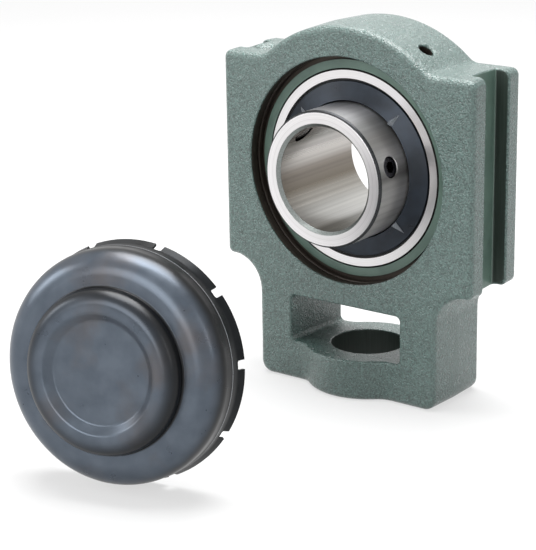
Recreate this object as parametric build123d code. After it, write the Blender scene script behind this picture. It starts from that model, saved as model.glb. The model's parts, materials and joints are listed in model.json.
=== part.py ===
"""Take-up bearing unit, catalogue size 208, with its closed dust cover standing beside it.

Millimetres. The origin is the centre of the bearing. +X points to the right, +Y from the front face to
the back and +Z up, so the shaft runs along Y and the unit stands on its foot face at Z = -CENTRE_HEIGHT.
"""

from build123d import *
import os
from math import cos, radians, sin, sqrt, tan

# Housing casting
OVERALL_WIDTH = 114.0
ARCH_INSET = 1.0
GUIDE_HEIGHT = 83.0
PLATE_THICKNESS = 33.0
LEG_LENGTH = 46.5
LEG_INSET = 15.5
FOOT_THICKNESS = 16.0
FOOT_SWELL = 8.0
CAST_DRAFT = 2.0
ARCH_BLEND = 6.0
SHOULDER_ROUND = 3.5
GUIDE_CORNER_ROUND = 3.0
LEG_BLEND = 12.5
LEG_CORNER_ROUND = 5.0
SWELL_BLEND = 8.0
FACE_ROUND = 2.5
CUT_ALLOWANCE = 7.0

# Guide grooves, window and take-up screw hole
GROOVE_WIDTH = 16.0
GROOVE_DEPTH = 6.0
GROOVE_ROUND = 0.8
WINDOW_FRONT_WIDTH = 51.0
WINDOW_TAPER = 1.3
WINDOW_ROOF = 9.0
WINDOW_ROUND = 2.0
WINDOW_RIM_ROUND = 1.0
SCREW_HOLE_DIAMETER = 29.0
SCREW_HOLE_ROUND = 0.6

# Seat, recesses and lubrication in the housing
SEAT_CLEARANCE = 0.05
RING_PROUD = 0.2
RECESS_RADIUS = 44.0
RECESS_EDGE = 0.6
SNAP_GROOVE_FRONT = 12.4
SNAP_GROOVE_REAR = 10.9
SNAP_GROOVE_DEPTH = 0.8
COVER_GROOVE_WIDTH = 2.0
COVER_GROOVE_DEPTH = 1.6
LOADING_CLEARANCE = 0.3
LUBE_GROOVE_WIDTH = 4.2
LUBE_GROOVE_DEPTH = 1.0
LUBE_HOLE_DIAMETER = 5.5
LUBE_OFFSET = 4.2
LUBE_RIGHT_ANGLE = 58.8
LUBE_RIGHT_SINK = 0.9
LUBE_LEFT_ANGLE = 136.0
LUBE_LEFT_SPOT_RADIUS = 59.0
LUBE_SPOT_DIAMETER = 10.0

# Bearing rings
INSERT_DIAMETER = 80.0
OUTER_RING_WIDTH = 21.0
OUTER_RING_BORE = 69.2
OUTER_SHOULDER_RADIUS = 33.6
RING_EDGE = 0.8
SHAFT_DIAMETER = 40.0
INNER_RING_DIAMETER = 52.4
INNER_RING_FRONT = 30.2
INNER_RING_REAR = 19.0
INNER_CORNER_ROUND = 0.9
BORE_CHAMFER = 1.3
OUTER_LUBE_HOLE_DIAMETER = 1.5
OUTER_LUBE_OFFSET = 6.1

# Balls and cage
BALL_COUNT = 9
BALL_DIAMETER = 12.0
PITCH_DIAMETER = 60.0
RACE_CLEARANCE = 0.02
OUTER_CONFORMITY = 0.52
INNER_CONFORMITY = 0.515
POCKET_CLEARANCE = 0.12
CAGE_SHEET = 0.9
CAGE_WIDTH = 5.4
RIVET_DIAMETER = 1.8
RIVET_HEAD_DIAMETER = 3.0
RIVET_HEAD_HEIGHT = 0.7
RIVET_HEAD_ROUND = 0.4
RIVET_CLEARANCE = 0.02

# Seals and slingers
SEAL_GROOVE_DEPTH = 0.9
SEAL_GROOVE_INNER = 7.4
SEAL_GROOVE_OUTER = 9.0
SEAL_CLEARANCE = 0.06
SEAL_WEB = 0.7
SLINGER_SHEET = 0.8
SLINGER_RIM_CLEARANCE = 0.8
SLINGER_RIM_Y = 10.2
SLINGER_HUB_Y = 12.0
SLINGER_HUB_THICKNESS = 0.9
SLINGER_LIP = 0.9
RIB_COUNT = 4
RIB_PHASE = 48.0
RIB_LENGTH = 5.4
RIB_WIDTH = 2.4
RIB_HEIGHT = 1.8
RIB_END_SCALE = 0.04

# Set screws and locking pin
SET_SCREW_DIAMETER = 8.0
SET_SCREW_CLEARANCE = 0.08
SET_SCREW_FROM_FACE = 8.0
SET_SCREW_PHASE = 15.0
SET_SCREW_PITCH = 120.0
SET_SCREW_SUNK = 0.3
SET_SCREW_POINT_CHAMFER = 1.0
SET_SCREW_SOCKET = 4.0
SET_SCREW_SOCKET_DEPTH = 3.0
SET_SCREW_COUNTERSINK = 0.2
PIN_DIAMETER = 3.0
PIN_CLEARANCE = 0.04
PIN_CHAMFER = 0.3
PIN_DEPTH = 2.4
PIN_STANDOUT = 1.7
PIN_SLOT_CLEARANCE = 0.3
ALIGN_ANGLE = 2.0

# Dust cover
COVER_RADIUS = 41.1
COVER_SHEET = 1.1
COVER_FACE_Y = 12.4
COVER_SHOULDER_ROUND = 8.4
DOME_RADIUS = 28.7
DOME_TOP_Y = 19.2
DOME_FOOT_ROUND = 0.8
DOME_EDGE_ROUND = 2.6
PANEL_RADIUS = 18.1
PANEL_SLOPE = 2.8
PANEL_Y = 16.8
PANEL_EDGE_ROUND = 2.0
CLIP_SHEET = 1.0
CLIP_NEST = 3.6
CLIP_NEST_CLEARANCE = 0.05
SEAM_GAP = 0.6
CLIP_BAND_RADIUS = 40.9
CLIP_BAND_Y = 3.6
CLIP_TIP_CLEARANCE = 1.6
CLIP_TIP_Y = 7.4
CLIP_SLOT_COUNT = 10
CLIP_SLOT_PHASE = 5.4
CLIP_SLOT_WIDTH = 3.4
CLIP_SLOT_DEPTH = 3.0
CLIP_SLOT_ROUND = 0.8
COVER_X = -11.6
COVER_Y = -131.2
COVER_YAW = 14.1
COVER_LEAN = 7.9

# Worked out from the driving dimensions
ARCH_RADIUS = OVERALL_WIDTH / 2 - ARCH_INSET
CENTRE_HEIGHT = GUIDE_HEIGHT / 2 + LEG_LENGTH
LEG_WIDTH = OVERALL_WIDTH - 2 * LEG_INSET
FOOT_DEPTH = PLATE_THICKNESS + 2 * FOOT_SWELL
FLOOR_LEVEL = FOOT_THICKNESS - CENTRE_HEIGHT
GROOVE_SPAN = OVERALL_WIDTH - 2 * GROOVE_DEPTH
WINDOW_HEIGHT = CENTRE_HEIGHT - FOOT_THICKNESS - RECESS_RADIUS - WINDOW_ROOF
HALF_PLATE = PLATE_THICKNESS / 2
HALF_RING = OUTER_RING_WIDTH / 2
BALL_RADIUS = BALL_DIAMETER / 2
PITCH_RADIUS = PITCH_DIAMETER / 2
INSERT_RADIUS = INSERT_DIAMETER / 2
SEAT_RADIUS = INSERT_RADIUS + SEAT_CLEARANCE
SEAT_HALF_WIDTH = HALF_RING - RING_PROUD
OUTER_BORE_RADIUS = OUTER_RING_BORE / 2
INNER_RADIUS = INNER_RING_DIAMETER / 2
SHAFT_RADIUS = SHAFT_DIAMETER / 2
SLINGER_RIM_RADIUS = OUTER_BORE_RADIUS - SLINGER_RIM_CLEARANCE
SET_SCREW_Y = SET_SCREW_FROM_FACE - INNER_RING_FRONT
CLIP_TIP_RADIUS = RECESS_RADIUS - CLIP_TIP_CLEARANCE
PAST = 40.0
FROM_BELOW = (Align.CENTER, Align.CENTER, Align.MIN)


def turned(lines):
    """Return the solid of revolution about the shaft axis of a closed (radius, y) outline."""
    return revolve(make_face(lines), axis=Axis.Y)


def turned_points(points):
    """Return the solid of revolution about the shaft axis of a polygon of (radius, y) corners."""
    return turned(Polyline(*points, close=True))


def round_bar(radius, y_from, y_to):
    """Return a cylinder on the shaft axis between two y planes."""
    length = y_to - y_from
    return Pos(0, y_from + length / 2, 0) * Rot(90, 0, 0) * Cylinder(radius, length)


def radial_bar(radius, r_from, r_to, angle, y):
    """Return a cylinder that points away from the shaft axis at an angle from +X towards +Z."""
    bar = Cylinder(radius, r_to - r_from, align=FROM_BELOW)
    return radial_place(r_from, angle, y) * bar


def radial_place(radius, angle, y):
    """Return the place at a radius and angle whose local Z points away from the shaft axis."""
    direction = (cos(radians(angle)), 0, sin(radians(angle)))
    origin = (radius * direction[0], y, radius * direction[2])
    return Plane(origin=origin, x_dir=(0, 1, 0), z_dir=direction).location


def on_face(body, y):
    """Return the edges that lie in the plane at one y."""
    return body.edges().filter_by_position(Axis.Y, y - 0.001, y + 0.001)


def on_level(body, z):
    """Return the edges that lie in the plane at one z."""
    return body.edges().filter_by_position(Axis.Z, z - 0.001, z + 0.001)


def turned_back(body):
    """Return a copy of a body turned half round the Z axis, so that it faces the back."""
    return Rot(0, 0, 180) * body


def mirrored_back(body):
    """Return a copy of a body mirrored to the other side of the plane Y = 0."""
    return mirror(body, about=Plane.XZ)


def casting_outline():
    """Return the front outline of the casting, with its foot left long for the later cut."""
    half_guide = GUIDE_HEIGHT / 2
    leg_height = CENTRE_HEIGHT + CUT_ALLOWANCE
    mouth = GROOVE_WIDTH / 2 + GROOVE_ROUND
    side = OVERALL_WIDTH / 2 + mouth * tan(radians(CAST_DRAFT))
    outline = Rectangle(2 * side, GUIDE_HEIGHT) + Circle(ARCH_RADIUS)
    outline += Pos(0, -leg_height / 2) * Rectangle(LEG_WIDTH, leg_height)

    def corners(x, y):
        return outline.vertices().filter_by(lambda v: abs(abs(v.X) - x) < 0.01 and abs(v.Y - y) < 0.01)

    arch_meets = sqrt(ARCH_RADIUS**2 - half_guide**2)
    outline = fillet(corners(arch_meets, half_guide), ARCH_BLEND)
    outline = fillet(corners(side, half_guide), SHOULDER_ROUND)
    outline = fillet(corners(side, -half_guide), GUIDE_CORNER_ROUND)
    return fillet(corners(LEG_WIDTH / 2, -half_guide), LEG_BLEND)


def foot_slab():
    """Return the middle of the foot, which swells round the take-up screw hole."""
    swell = FOOT_DEPTH / 2
    blend_ends = sqrt((swell + SWELL_BLEND) ** 2 - (HALF_PLATE + SWELL_BLEND) ** 2)
    plan = Rectangle(2 * (blend_ends + FACE_ROUND), PLATE_THICKNESS) + Circle(swell)
    meets = sqrt(swell**2 - HALF_PLATE**2)
    inner = plan.vertices().filter_by(lambda v: abs(abs(v.X) - meets) < 0.01)
    return Pos(0, 0, -CENTRE_HEIGHT) * extrude(fillet(inner, SWELL_BLEND), FOOT_THICKNESS)


def window_cutter():
    """Return the tapered window over the foot, wider at the front, with rounded corners."""
    slope = WINDOW_TAPER / PLATE_THICKNESS
    front = WINDOW_FRONT_WIDTH / 2 + slope * PAST
    rear = WINDOW_FRONT_WIDTH / 2 - WINDOW_TAPER - slope * PAST
    past = HALF_PLATE + PAST
    plan = Polyline((-front, -past), (front, -past), (rear, past), (-rear, past), close=True)
    cutter = Pos(0, 0, FLOOR_LEVEL) * extrude(make_face(plan), WINDOW_HEIGHT)
    long_edges = cutter.edges().filter_by(lambda e: e.length > PLATE_THICKNESS + PAST)
    return fillet(long_edges.filter_by(lambda e: abs(e.tangent_at(0.5).Y) > 0.9), WINDOW_ROUND)


def seat_cutter():
    """Return the turned space of the spherical seat, both recesses and both cover grooves."""
    groove_inner = RECESS_RADIUS - COVER_GROOVE_WIDTH
    groove_floor = SEAT_HALF_WIDTH - COVER_GROOVE_DEPTH
    snap_radius = RECESS_RADIUS + SNAP_GROOVE_DEPTH
    edge_radius = sqrt(SEAT_RADIUS**2 - SEAT_HALF_WIDTH**2)
    past = HALF_PLATE + PAST
    front = Polyline(
        (0, -past),
        (RECESS_RADIUS, -past),
        (RECESS_RADIUS, -SNAP_GROOVE_FRONT),
        (snap_radius, -SNAP_GROOVE_FRONT),
        (snap_radius, -SNAP_GROOVE_REAR),
        (RECESS_RADIUS, -SNAP_GROOVE_REAR),
        (RECESS_RADIUS, -groove_floor),
        (groove_inner, -groove_floor),
        (groove_inner, -SEAT_HALF_WIDTH),
        (edge_radius, -SEAT_HALF_WIDTH),
    )
    seat = ThreePointArc((edge_radius, -SEAT_HALF_WIDTH), (SEAT_RADIUS, 0), (edge_radius, SEAT_HALF_WIDTH))
    rear = Polyline(
        (edge_radius, SEAT_HALF_WIDTH),
        (groove_inner, SEAT_HALF_WIDTH),
        (groove_inner, groove_floor),
        (RECESS_RADIUS, groove_floor),
        (RECESS_RADIUS, SNAP_GROOVE_REAR),
        (snap_radius, SNAP_GROOVE_REAR),
        (snap_radius, SNAP_GROOVE_FRONT),
        (RECESS_RADIUS, SNAP_GROOVE_FRONT),
        (RECESS_RADIUS, past),
        (0, past),
        (0, -past),
    )
    return turned(front + seat + rear)


def loading_slots():
    """Return the two slots, open to the back, through which the insert is put in edgeways."""
    reach = INSERT_RADIUS + LOADING_CLEARANCE
    bar = round_bar(reach, 0, SEAT_HALF_WIDTH + LOADING_CLEARANCE)
    slot = Box(2 * reach + 1, 2 * PLATE_THICKNESS, OUTER_RING_WIDTH + 2 * LOADING_CLEARANCE)
    return bar & slot


def pin_slot():
    """Return the slot along Y over the locking pin, long enough for the alignment range."""
    width = PIN_DIAMETER + 2 * PIN_CLEARANCE
    travel = (INSERT_RADIUS + PIN_STANDOUT) * sin(radians(ALIGN_ANGLE))
    length = PIN_DIAMETER + 2 * (travel + PIN_SLOT_CLEARANCE)
    height = PIN_STANDOUT + PIN_SLOT_CLEARANCE + PIN_DEPTH
    slot = Box(width, length, height, align=FROM_BELOW)
    return Pos(0, 0, INSERT_RADIUS - PIN_DEPTH) * slot


def lube_cutters():
    """Return the ring groove in the seat and both tapped lubrication holes with their mouths."""
    half = LUBE_GROOVE_WIDTH / 2
    groove = round_bar(SEAT_RADIUS + LUBE_GROOVE_DEPTH, -LUBE_OFFSET - half, -LUBE_OFFSET + half)
    hole = LUBE_HOLE_DIAMETER / 2
    end = LUBE_LEFT_SPOT_RADIUS + PAST
    cutters = [groove]
    for angle in (LUBE_RIGHT_ANGLE, LUBE_LEFT_ANGLE):
        cutters.append(radial_bar(hole, INSERT_RADIUS, end, angle, -LUBE_OFFSET))
    cutters.append(radial_bar(LUBE_SPOT_DIAMETER / 2, LUBE_LEFT_SPOT_RADIUS, end, LUBE_LEFT_ANGLE, -LUBE_OFFSET))
    sink = Cone(hole, hole + LUBE_SPOT_DIAMETER, LUBE_SPOT_DIAMETER, align=FROM_BELOW)
    cutters.append(radial_place(ARCH_RADIUS - LUBE_RIGHT_SINK, LUBE_RIGHT_ANGLE, -LUBE_OFFSET) * sink)
    return cutters


def guide_groove(side):
    """Return the straight groove of one side, open at both ends and rounded at its mouth."""
    depth = (OVERALL_WIDTH - GROOVE_SPAN) / 2 + PAST
    groove = Pos((GROOVE_SPAN + depth) / 2, 0, 0) * Box(depth, GROOVE_WIDTH, GUIDE_HEIGHT + PAST)
    floor_edges = groove.edges().filter_by(Axis.Z).group_by(Axis.X)[0]
    groove = fillet(floor_edges, GROOVE_ROUND)
    return groove if side > 0 else mirror(groove, about=Plane.YZ)


def make_casting():
    """Return the rounded casting before machining: drafted both ways from its parting plane."""
    front = extrude(Plane.XZ * casting_outline(), HALF_PLATE, taper=CAST_DRAFT)
    body = front + mirrored_back(front)
    cut_size = 2 * OVERALL_WIDTH
    foot_cut = Box(cut_size, cut_size, cut_size, align=(Align.CENTER, Align.CENTER, Align.MAX))
    body -= Pos(0, 0, -CENTRE_HEIGHT) * foot_cut
    foot_edges = on_level(body, -CENTRE_HEIGHT)
    body = fillet(foot_edges.filter_by(lambda e: abs(e.tangent_at(0.5).Y) > 0.9), LEG_CORNER_ROUND)
    body += foot_slab()
    body -= window_cutter()
    body = fillet(outside_edges(body), FACE_ROUND)
    return fillet(window_rim(body), WINDOW_RIM_ROUND)


def near_window(edge):
    """Say whether an edge lies round the window or between the window and the foot face."""
    centre = edge.center()
    across = abs(centre.X) < WINDOW_FRONT_WIDTH / 2 + 1
    return across and -CENTRE_HEIGHT + 0.01 < centre.Z < FLOOR_LEVEL + WINDOW_HEIGHT + 0.01


def outside_edges(body):
    """Return the edges round both faces of the casting, with the swelling's bottom edges."""
    edges = on_face(body, -HALF_PLATE) + on_face(body, HALF_PLATE)
    outline = edges.filter_by(lambda e: not near_window(e))
    bottom = on_level(body, -CENTRE_HEIGHT).filter_by(lambda e: abs(e.center().Y) > HALF_PLATE + 0.01)
    return outline + bottom


def window_rim(body):
    """Return the edges round the window's two mouths, with the swelling's top edges."""
    edges = on_face(body, -HALF_PLATE) + on_face(body, HALF_PLATE)
    rim = edges.filter_by(lambda e: near_window(e) and e.center().Z > FLOOR_LEVEL - 0.01)
    top = on_level(body, FLOOR_LEVEL).filter_by(lambda e: abs(e.center().Y) > HALF_PLATE + 0.01)
    return rim + top


def groove_mouths(body):
    """Return the long edges at the mouths of the two guide grooves."""
    half = GROOVE_WIDTH / 2
    beyond = GROOVE_SPAN / 2 + 2 * GROOVE_ROUND
    upright = body.edges().filter_by(lambda e: abs(e.tangent_at(0.5).Z) > 0.9)
    upright = upright.filter_by(lambda e: e.length > GUIDE_HEIGHT / 2)
    upright = upright.filter_by(lambda e: abs(abs(e.center().Y) - half) < 0.01)
    return upright.filter_by(lambda e: abs(e.center().X) > beyond)


def circles(edges, radius):
    """Return the circular edges of one radius."""
    return edges.filter_by(GeomType.CIRCLE).filter_by(lambda e: abs(e.radius - radius) < 0.01)


def make_housing():
    """Return the housing: the casting with its grooves, seat and holes."""
    body = make_casting()
    body -= guide_groove(1)
    body -= guide_groove(-1)
    body = fillet(groove_mouths(body), GROOVE_ROUND)
    body -= seat_cutter()
    mouths = on_face(body, -HALF_PLATE) + on_face(body, HALF_PLATE)
    body = fillet(circles(mouths, RECESS_RADIUS), RECESS_EDGE)
    body -= loading_slots()
    body -= pin_slot()
    for cutter in lube_cutters():
        body -= cutter
    hole_radius = SCREW_HOLE_DIAMETER / 2
    body -= Pos(0, 0, -CENTRE_HEIGHT) * Cylinder(hole_radius, 2 * FOOT_THICKNESS + 1)
    rims = on_level(body, -CENTRE_HEIGHT) + on_level(body, FLOOR_LEVEL)
    return fillet(circles(rims, hole_radius), SCREW_HOLE_ROUND)


def make_outer_ring():
    """Return the outer ring: spherical outside, raceway, seal grooves and pin hole."""
    race_radius = PITCH_RADIUS + BALL_RADIUS + RACE_CLEARANCE
    groove_radius = OUTER_CONFORMITY * BALL_DIAMETER
    centre = race_radius - groove_radius
    race_half = sqrt(groove_radius**2 - (OUTER_SHOULDER_RADIUS - centre) ** 2)
    sphere_half = HALF_RING - RING_EDGE
    sphere_radius = sqrt(INSERT_RADIUS**2 - sphere_half**2)
    seal_radius = OUTER_BORE_RADIUS + SEAL_GROOVE_DEPTH
    side = [
        (sphere_radius, sphere_half),
        (sphere_radius - RING_EDGE, HALF_RING),
        (OUTER_BORE_RADIUS, HALF_RING),
        (OUTER_BORE_RADIUS, SEAL_GROOVE_OUTER),
        (seal_radius, SEAL_GROOVE_OUTER),
        (seal_radius, SEAL_GROOVE_INNER),
        (OUTER_SHOULDER_RADIUS, SEAL_GROOVE_INNER),
        (OUTER_SHOULDER_RADIUS, race_half),
    ]
    back = Polyline(*side)
    shoulder = OUTER_SHOULDER_RADIUS
    raceway = ThreePointArc((shoulder, race_half), (race_radius, 0), (shoulder, -race_half))
    front = Polyline(*[(r, -y) for r, y in reversed(side)])
    outside = ThreePointArc((sphere_radius, -sphere_half), (INSERT_RADIUS, 0), (sphere_radius, sphere_half))
    ring = turned(back + raceway + front + outside)
    pin_hole = Cylinder(PIN_DIAMETER / 2 + PIN_CLEARANCE, 2 * PIN_DEPTH)
    ring -= Pos(0, 0, INSERT_RADIUS) * pin_hole
    hole_radius = OUTER_LUBE_HOLE_DIAMETER / 2
    for angle in (LUBE_RIGHT_ANGLE, LUBE_LEFT_ANGLE):
        ring -= radial_bar(hole_radius, PITCH_RADIUS, INSERT_RADIUS + 1, angle, -OUTER_LUBE_OFFSET)
    return ring


def make_locking_pin():
    """Return the pin that stands in the outer ring and reaches into the housing's slot."""
    length = PIN_DEPTH + PIN_STANDOUT - PIN_CLEARANCE
    pin = Cylinder(PIN_DIAMETER / 2, length, align=FROM_BELOW)
    pin = chamfer(pin.edges().group_by(Axis.Z)[-1], PIN_CHAMFER)
    return Pos(0, 0, INSERT_RADIUS - PIN_DEPTH + PIN_CLEARANCE) * pin


def make_inner_ring():
    """Return the wide inner ring with its raceway, rounded corners and tapped screw holes."""
    race_radius = PITCH_RADIUS - BALL_RADIUS - RACE_CLEARANCE
    groove_radius = INNER_CONFORMITY * BALL_DIAMETER
    centre = race_radius + groove_radius
    race_half = sqrt(groove_radius**2 - (centre - INNER_RADIUS) ** 2)
    bore_face = SHAFT_RADIUS + BORE_CHAMFER
    corner = INNER_CORNER_ROUND
    inset = corner * (1 - sqrt(0.5))
    front_corner = ThreePointArc(
        (INNER_RADIUS - corner, -INNER_RING_FRONT),
        (INNER_RADIUS - inset, -INNER_RING_FRONT + inset),
        (INNER_RADIUS, -INNER_RING_FRONT + corner),
    )
    front_land = Line((INNER_RADIUS, -INNER_RING_FRONT + corner), (INNER_RADIUS, -race_half))
    raceway = ThreePointArc((INNER_RADIUS, -race_half), (race_radius, 0), (INNER_RADIUS, race_half))
    rear_land = Line((INNER_RADIUS, race_half), (INNER_RADIUS, INNER_RING_REAR - corner))
    rear_corner = ThreePointArc(
        (INNER_RADIUS, INNER_RING_REAR - corner),
        (INNER_RADIUS - inset, INNER_RING_REAR - inset),
        (INNER_RADIUS - corner, INNER_RING_REAR),
    )
    inside = Polyline(
        (INNER_RADIUS - corner, INNER_RING_REAR),
        (bore_face, INNER_RING_REAR),
        (SHAFT_RADIUS, INNER_RING_REAR - BORE_CHAMFER),
        (SHAFT_RADIUS, -INNER_RING_FRONT + BORE_CHAMFER),
        (bore_face, -INNER_RING_FRONT),
        (INNER_RADIUS - corner, -INNER_RING_FRONT),
    )
    ring = turned(front_corner + front_land + raceway + rear_land + rear_corner + inside)
    hole_radius = SET_SCREW_DIAMETER / 2 + SET_SCREW_CLEARANCE
    sink = SET_SCREW_COUNTERSINK
    for number in range(2):
        angle = SET_SCREW_PHASE + number * SET_SCREW_PITCH
        ring -= radial_bar(hole_radius, SHAFT_RADIUS / 2, INNER_RADIUS + 1, angle, SET_SCREW_Y)
        cone = Cone(hole_radius, hole_radius + 2 * sink, 2 * sink, align=FROM_BELOW)
        ring -= radial_place(INNER_RADIUS - sink, angle, SET_SCREW_Y) * cone
    return ring


def make_set_screw(number):
    """Return one hex-socket set screw, in place in the inner ring."""
    outer = INNER_RADIUS - SET_SCREW_SUNK
    inner = SHAFT_RADIUS + SET_SCREW_SUNK
    screw = Cylinder(SET_SCREW_DIAMETER / 2, outer - inner, align=FROM_BELOW)
    screw = chamfer(screw.edges().group_by(Axis.Z)[0], SET_SCREW_POINT_CHAMFER)
    screw = chamfer(screw.edges().group_by(Axis.Z)[-1], SET_SCREW_POINT_CHAMFER / 2)
    hexagon = RegularPolygon(SET_SCREW_SOCKET / 2, 6, major_radius=False)
    socket = extrude(hexagon, SET_SCREW_SOCKET_DEPTH)
    screw -= Pos(0, 0, outer - inner - SET_SCREW_SOCKET_DEPTH) * socket
    angle = SET_SCREW_PHASE + number * SET_SCREW_PITCH
    return radial_place(inner, angle, SET_SCREW_Y) * screw


def make_ball(number):
    """Return one ball in its place on the pitch circle."""
    return ball_place(number) * Sphere(BALL_RADIUS)


def ball_place(number, shift=0.0):
    """Return the place of a ball, or of the rivet half a pitch past it; local Z is radial."""
    return Rot(0, -(number + shift) * 360 / BALL_COUNT, 0) * Pos(0, 0, PITCH_RADIUS)


def make_cage_half():
    """Return the front ribbon half of the cage: flats between round ball pockets."""
    inner = PITCH_RADIUS - CAGE_WIDTH / 2
    outer = PITCH_RADIUS + CAGE_WIDTH / 2
    pocket = BALL_RADIUS + POCKET_CLEARANCE
    reach = pocket + CAGE_SHEET
    band = turned_points([(inner, -reach - 1), (outer, -reach - 1), (outer, 0), (inner, 0)])
    sheet = CAGE_SHEET
    half = turned_points([(inner, -sheet), (outer, -sheet), (outer, 0), (inner, 0)])
    for number in range(BALL_COUNT):
        half += (ball_place(number) * Sphere(reach)) & band
    rivet_hole = Rot(90, 0, 0) * Cylinder(RIVET_DIAMETER / 2 + RIVET_CLEARANCE, 4 * CAGE_SHEET)
    for number in range(BALL_COUNT):
        half -= ball_place(number) * Sphere(pocket)
        half -= ball_place(number, 0.5) * rivet_hole
    return half


def make_cage_rivets():
    """Return the rivets that hold the two cage halves together."""
    shank = Cylinder(RIVET_DIAMETER / 2, 2 * (CAGE_SHEET + RIVET_HEAD_HEIGHT / 2))
    head = Cylinder(RIVET_HEAD_DIAMETER / 2, RIVET_HEAD_HEIGHT)
    head = fillet(head.edges().group_by(Axis.Z)[-1], RIVET_HEAD_ROUND)
    lifted = Pos(0, 0, CAGE_SHEET + RIVET_HEAD_HEIGHT / 2) * head
    rivet = shank + lifted + mirror(lifted, about=Plane.XY)
    return [ball_place(number, 0.5) * Rot(90, 0, 0) * rivet for number in range(BALL_COUNT)]


def make_seal():
    """Return the front seal, snapped in the outer ring and closed to the inner ring by its lip."""
    lip = INNER_RADIUS + SEAL_CLEARANCE
    rim = OUTER_BORE_RADIUS + SEAL_GROOVE_DEPTH - SEAL_CLEARANCE
    inner = SEAL_GROOVE_INNER + SEAL_CLEARANCE
    outer = SEAL_GROOVE_OUTER - SEAL_CLEARANCE
    web_inner = outer - SEAL_WEB
    return turned_points(
        [
            (rim, -inner),
            (rim, -outer),
            (lip + 2 * SEAL_WEB, -outer),
            (lip, -outer + SEAL_WEB / 2),
            (lip, -web_inner),
            (lip + 2 * SEAL_WEB, -web_inner),
            (rim - 2 * SEAL_WEB, -web_inner),
            (rim - SEAL_WEB, -inner),
        ]
    )


def make_slinger():
    """Return the front slinger: a shallow pressed cone with a hub, a turned rim and four ribs."""
    hub = INNER_RADIUS + SLINGER_HUB_THICKNESS
    slope = (SLINGER_HUB_Y - SLINGER_RIM_Y) / (SLINGER_RIM_RADIUS - hub)
    sheet = SLINGER_SHEET
    ring = turned_points(
        [
            (INNER_RADIUS, -SLINGER_HUB_Y + 3 * sheet),
            (INNER_RADIUS, -SLINGER_HUB_Y + sheet),
            (INNER_RADIUS + sheet / 2, -SLINGER_HUB_Y),
            (hub, -SLINGER_HUB_Y),
            (SLINGER_RIM_RADIUS, -SLINGER_RIM_Y),
            (SLINGER_RIM_RADIUS, -SLINGER_RIM_Y + SLINGER_LIP),
            (SLINGER_RIM_RADIUS - sheet, -SLINGER_RIM_Y + SLINGER_LIP),
            (SLINGER_RIM_RADIUS - sheet, -SLINGER_RIM_Y + sheet - slope * sheet),
            (hub, -SLINGER_HUB_Y + sheet),
            (hub, -SLINGER_HUB_Y + 3 * sheet),
        ]
    )
    for number in range(RIB_COUNT):
        ring += slinger_rib(hub, slope, RIB_PHASE + number * 360 / RIB_COUNT)
    return ring


def slinger_rib(start, slope, angle):
    """Return one pinched rib: a ridge that starts at the hub and runs out flat towards the rim."""
    sections = []
    for part in (0.0, 1.0):
        grow = 1 - part * (1 - RIB_END_SCALE)
        radius = start - SLINGER_HUB_THICKNESS / 2 + part * RIB_LENGTH
        surface = -SLINGER_HUB_Y + slope * (radius - start)
        place = radial_place(radius, angle, surface)
        root = SLINGER_SHEET / 2
        half = RIB_WIDTH / 2 * grow
        corners = [(root, -half), (root, half), (-RIB_HEIGHT * grow, 0)]
        sections.append(place * make_face(Polyline(*corners, close=True)))
    return loft(sections)


def cover_profile():
    """Return the filled section of the cap, symmetrical about its axis, open side past the seam."""
    drum = Pos(0, (PAST - COVER_FACE_Y) / 2) * Rectangle(2 * COVER_RADIUS, PAST + COVER_FACE_Y)
    dome = Pos(0, -(COVER_FACE_Y + DOME_TOP_Y) / 2) * Rectangle(2 * DOME_RADIUS, DOME_TOP_Y - COVER_FACE_Y)
    slope_top = PANEL_RADIUS + PANEL_SLOPE
    panel = make_face(
        Polyline(
            (-slope_top, -DOME_TOP_Y),
            (slope_top, -DOME_TOP_Y),
            (PANEL_RADIUS, -PANEL_Y),
            (-PANEL_RADIUS, -PANEL_Y),
            close=True,
        )
    )
    section = drum + dome - panel

    def corners(x, y):
        return section.vertices().filter_by(lambda v: abs(abs(v.X) - x) < 0.01 and abs(v.Y + y) < 0.01)

    section = fillet(corners(COVER_RADIUS, COVER_FACE_Y), COVER_SHOULDER_ROUND)
    section = fillet(corners(DOME_RADIUS, COVER_FACE_Y), DOME_FOOT_ROUND)
    section = fillet(corners(DOME_RADIUS, DOME_TOP_Y), DOME_EDGE_ROUND)
    return fillet(corners(slope_top, DOME_TOP_Y), PANEL_EDGE_ROUND)


def make_cover_cap():
    """Return the deep-drawn cap of the dust cover, on its own axis with the seam at Y = 0."""
    section = cover_profile()
    wall = section - offset(section, -COVER_SHEET)
    reach = COVER_RADIUS + 1
    depth = DOME_TOP_Y + 1
    wall = wall & (Pos(reach / 2, -depth / 2) * Rectangle(reach, depth))
    return revolve(wall, axis=Axis.Y)


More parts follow.
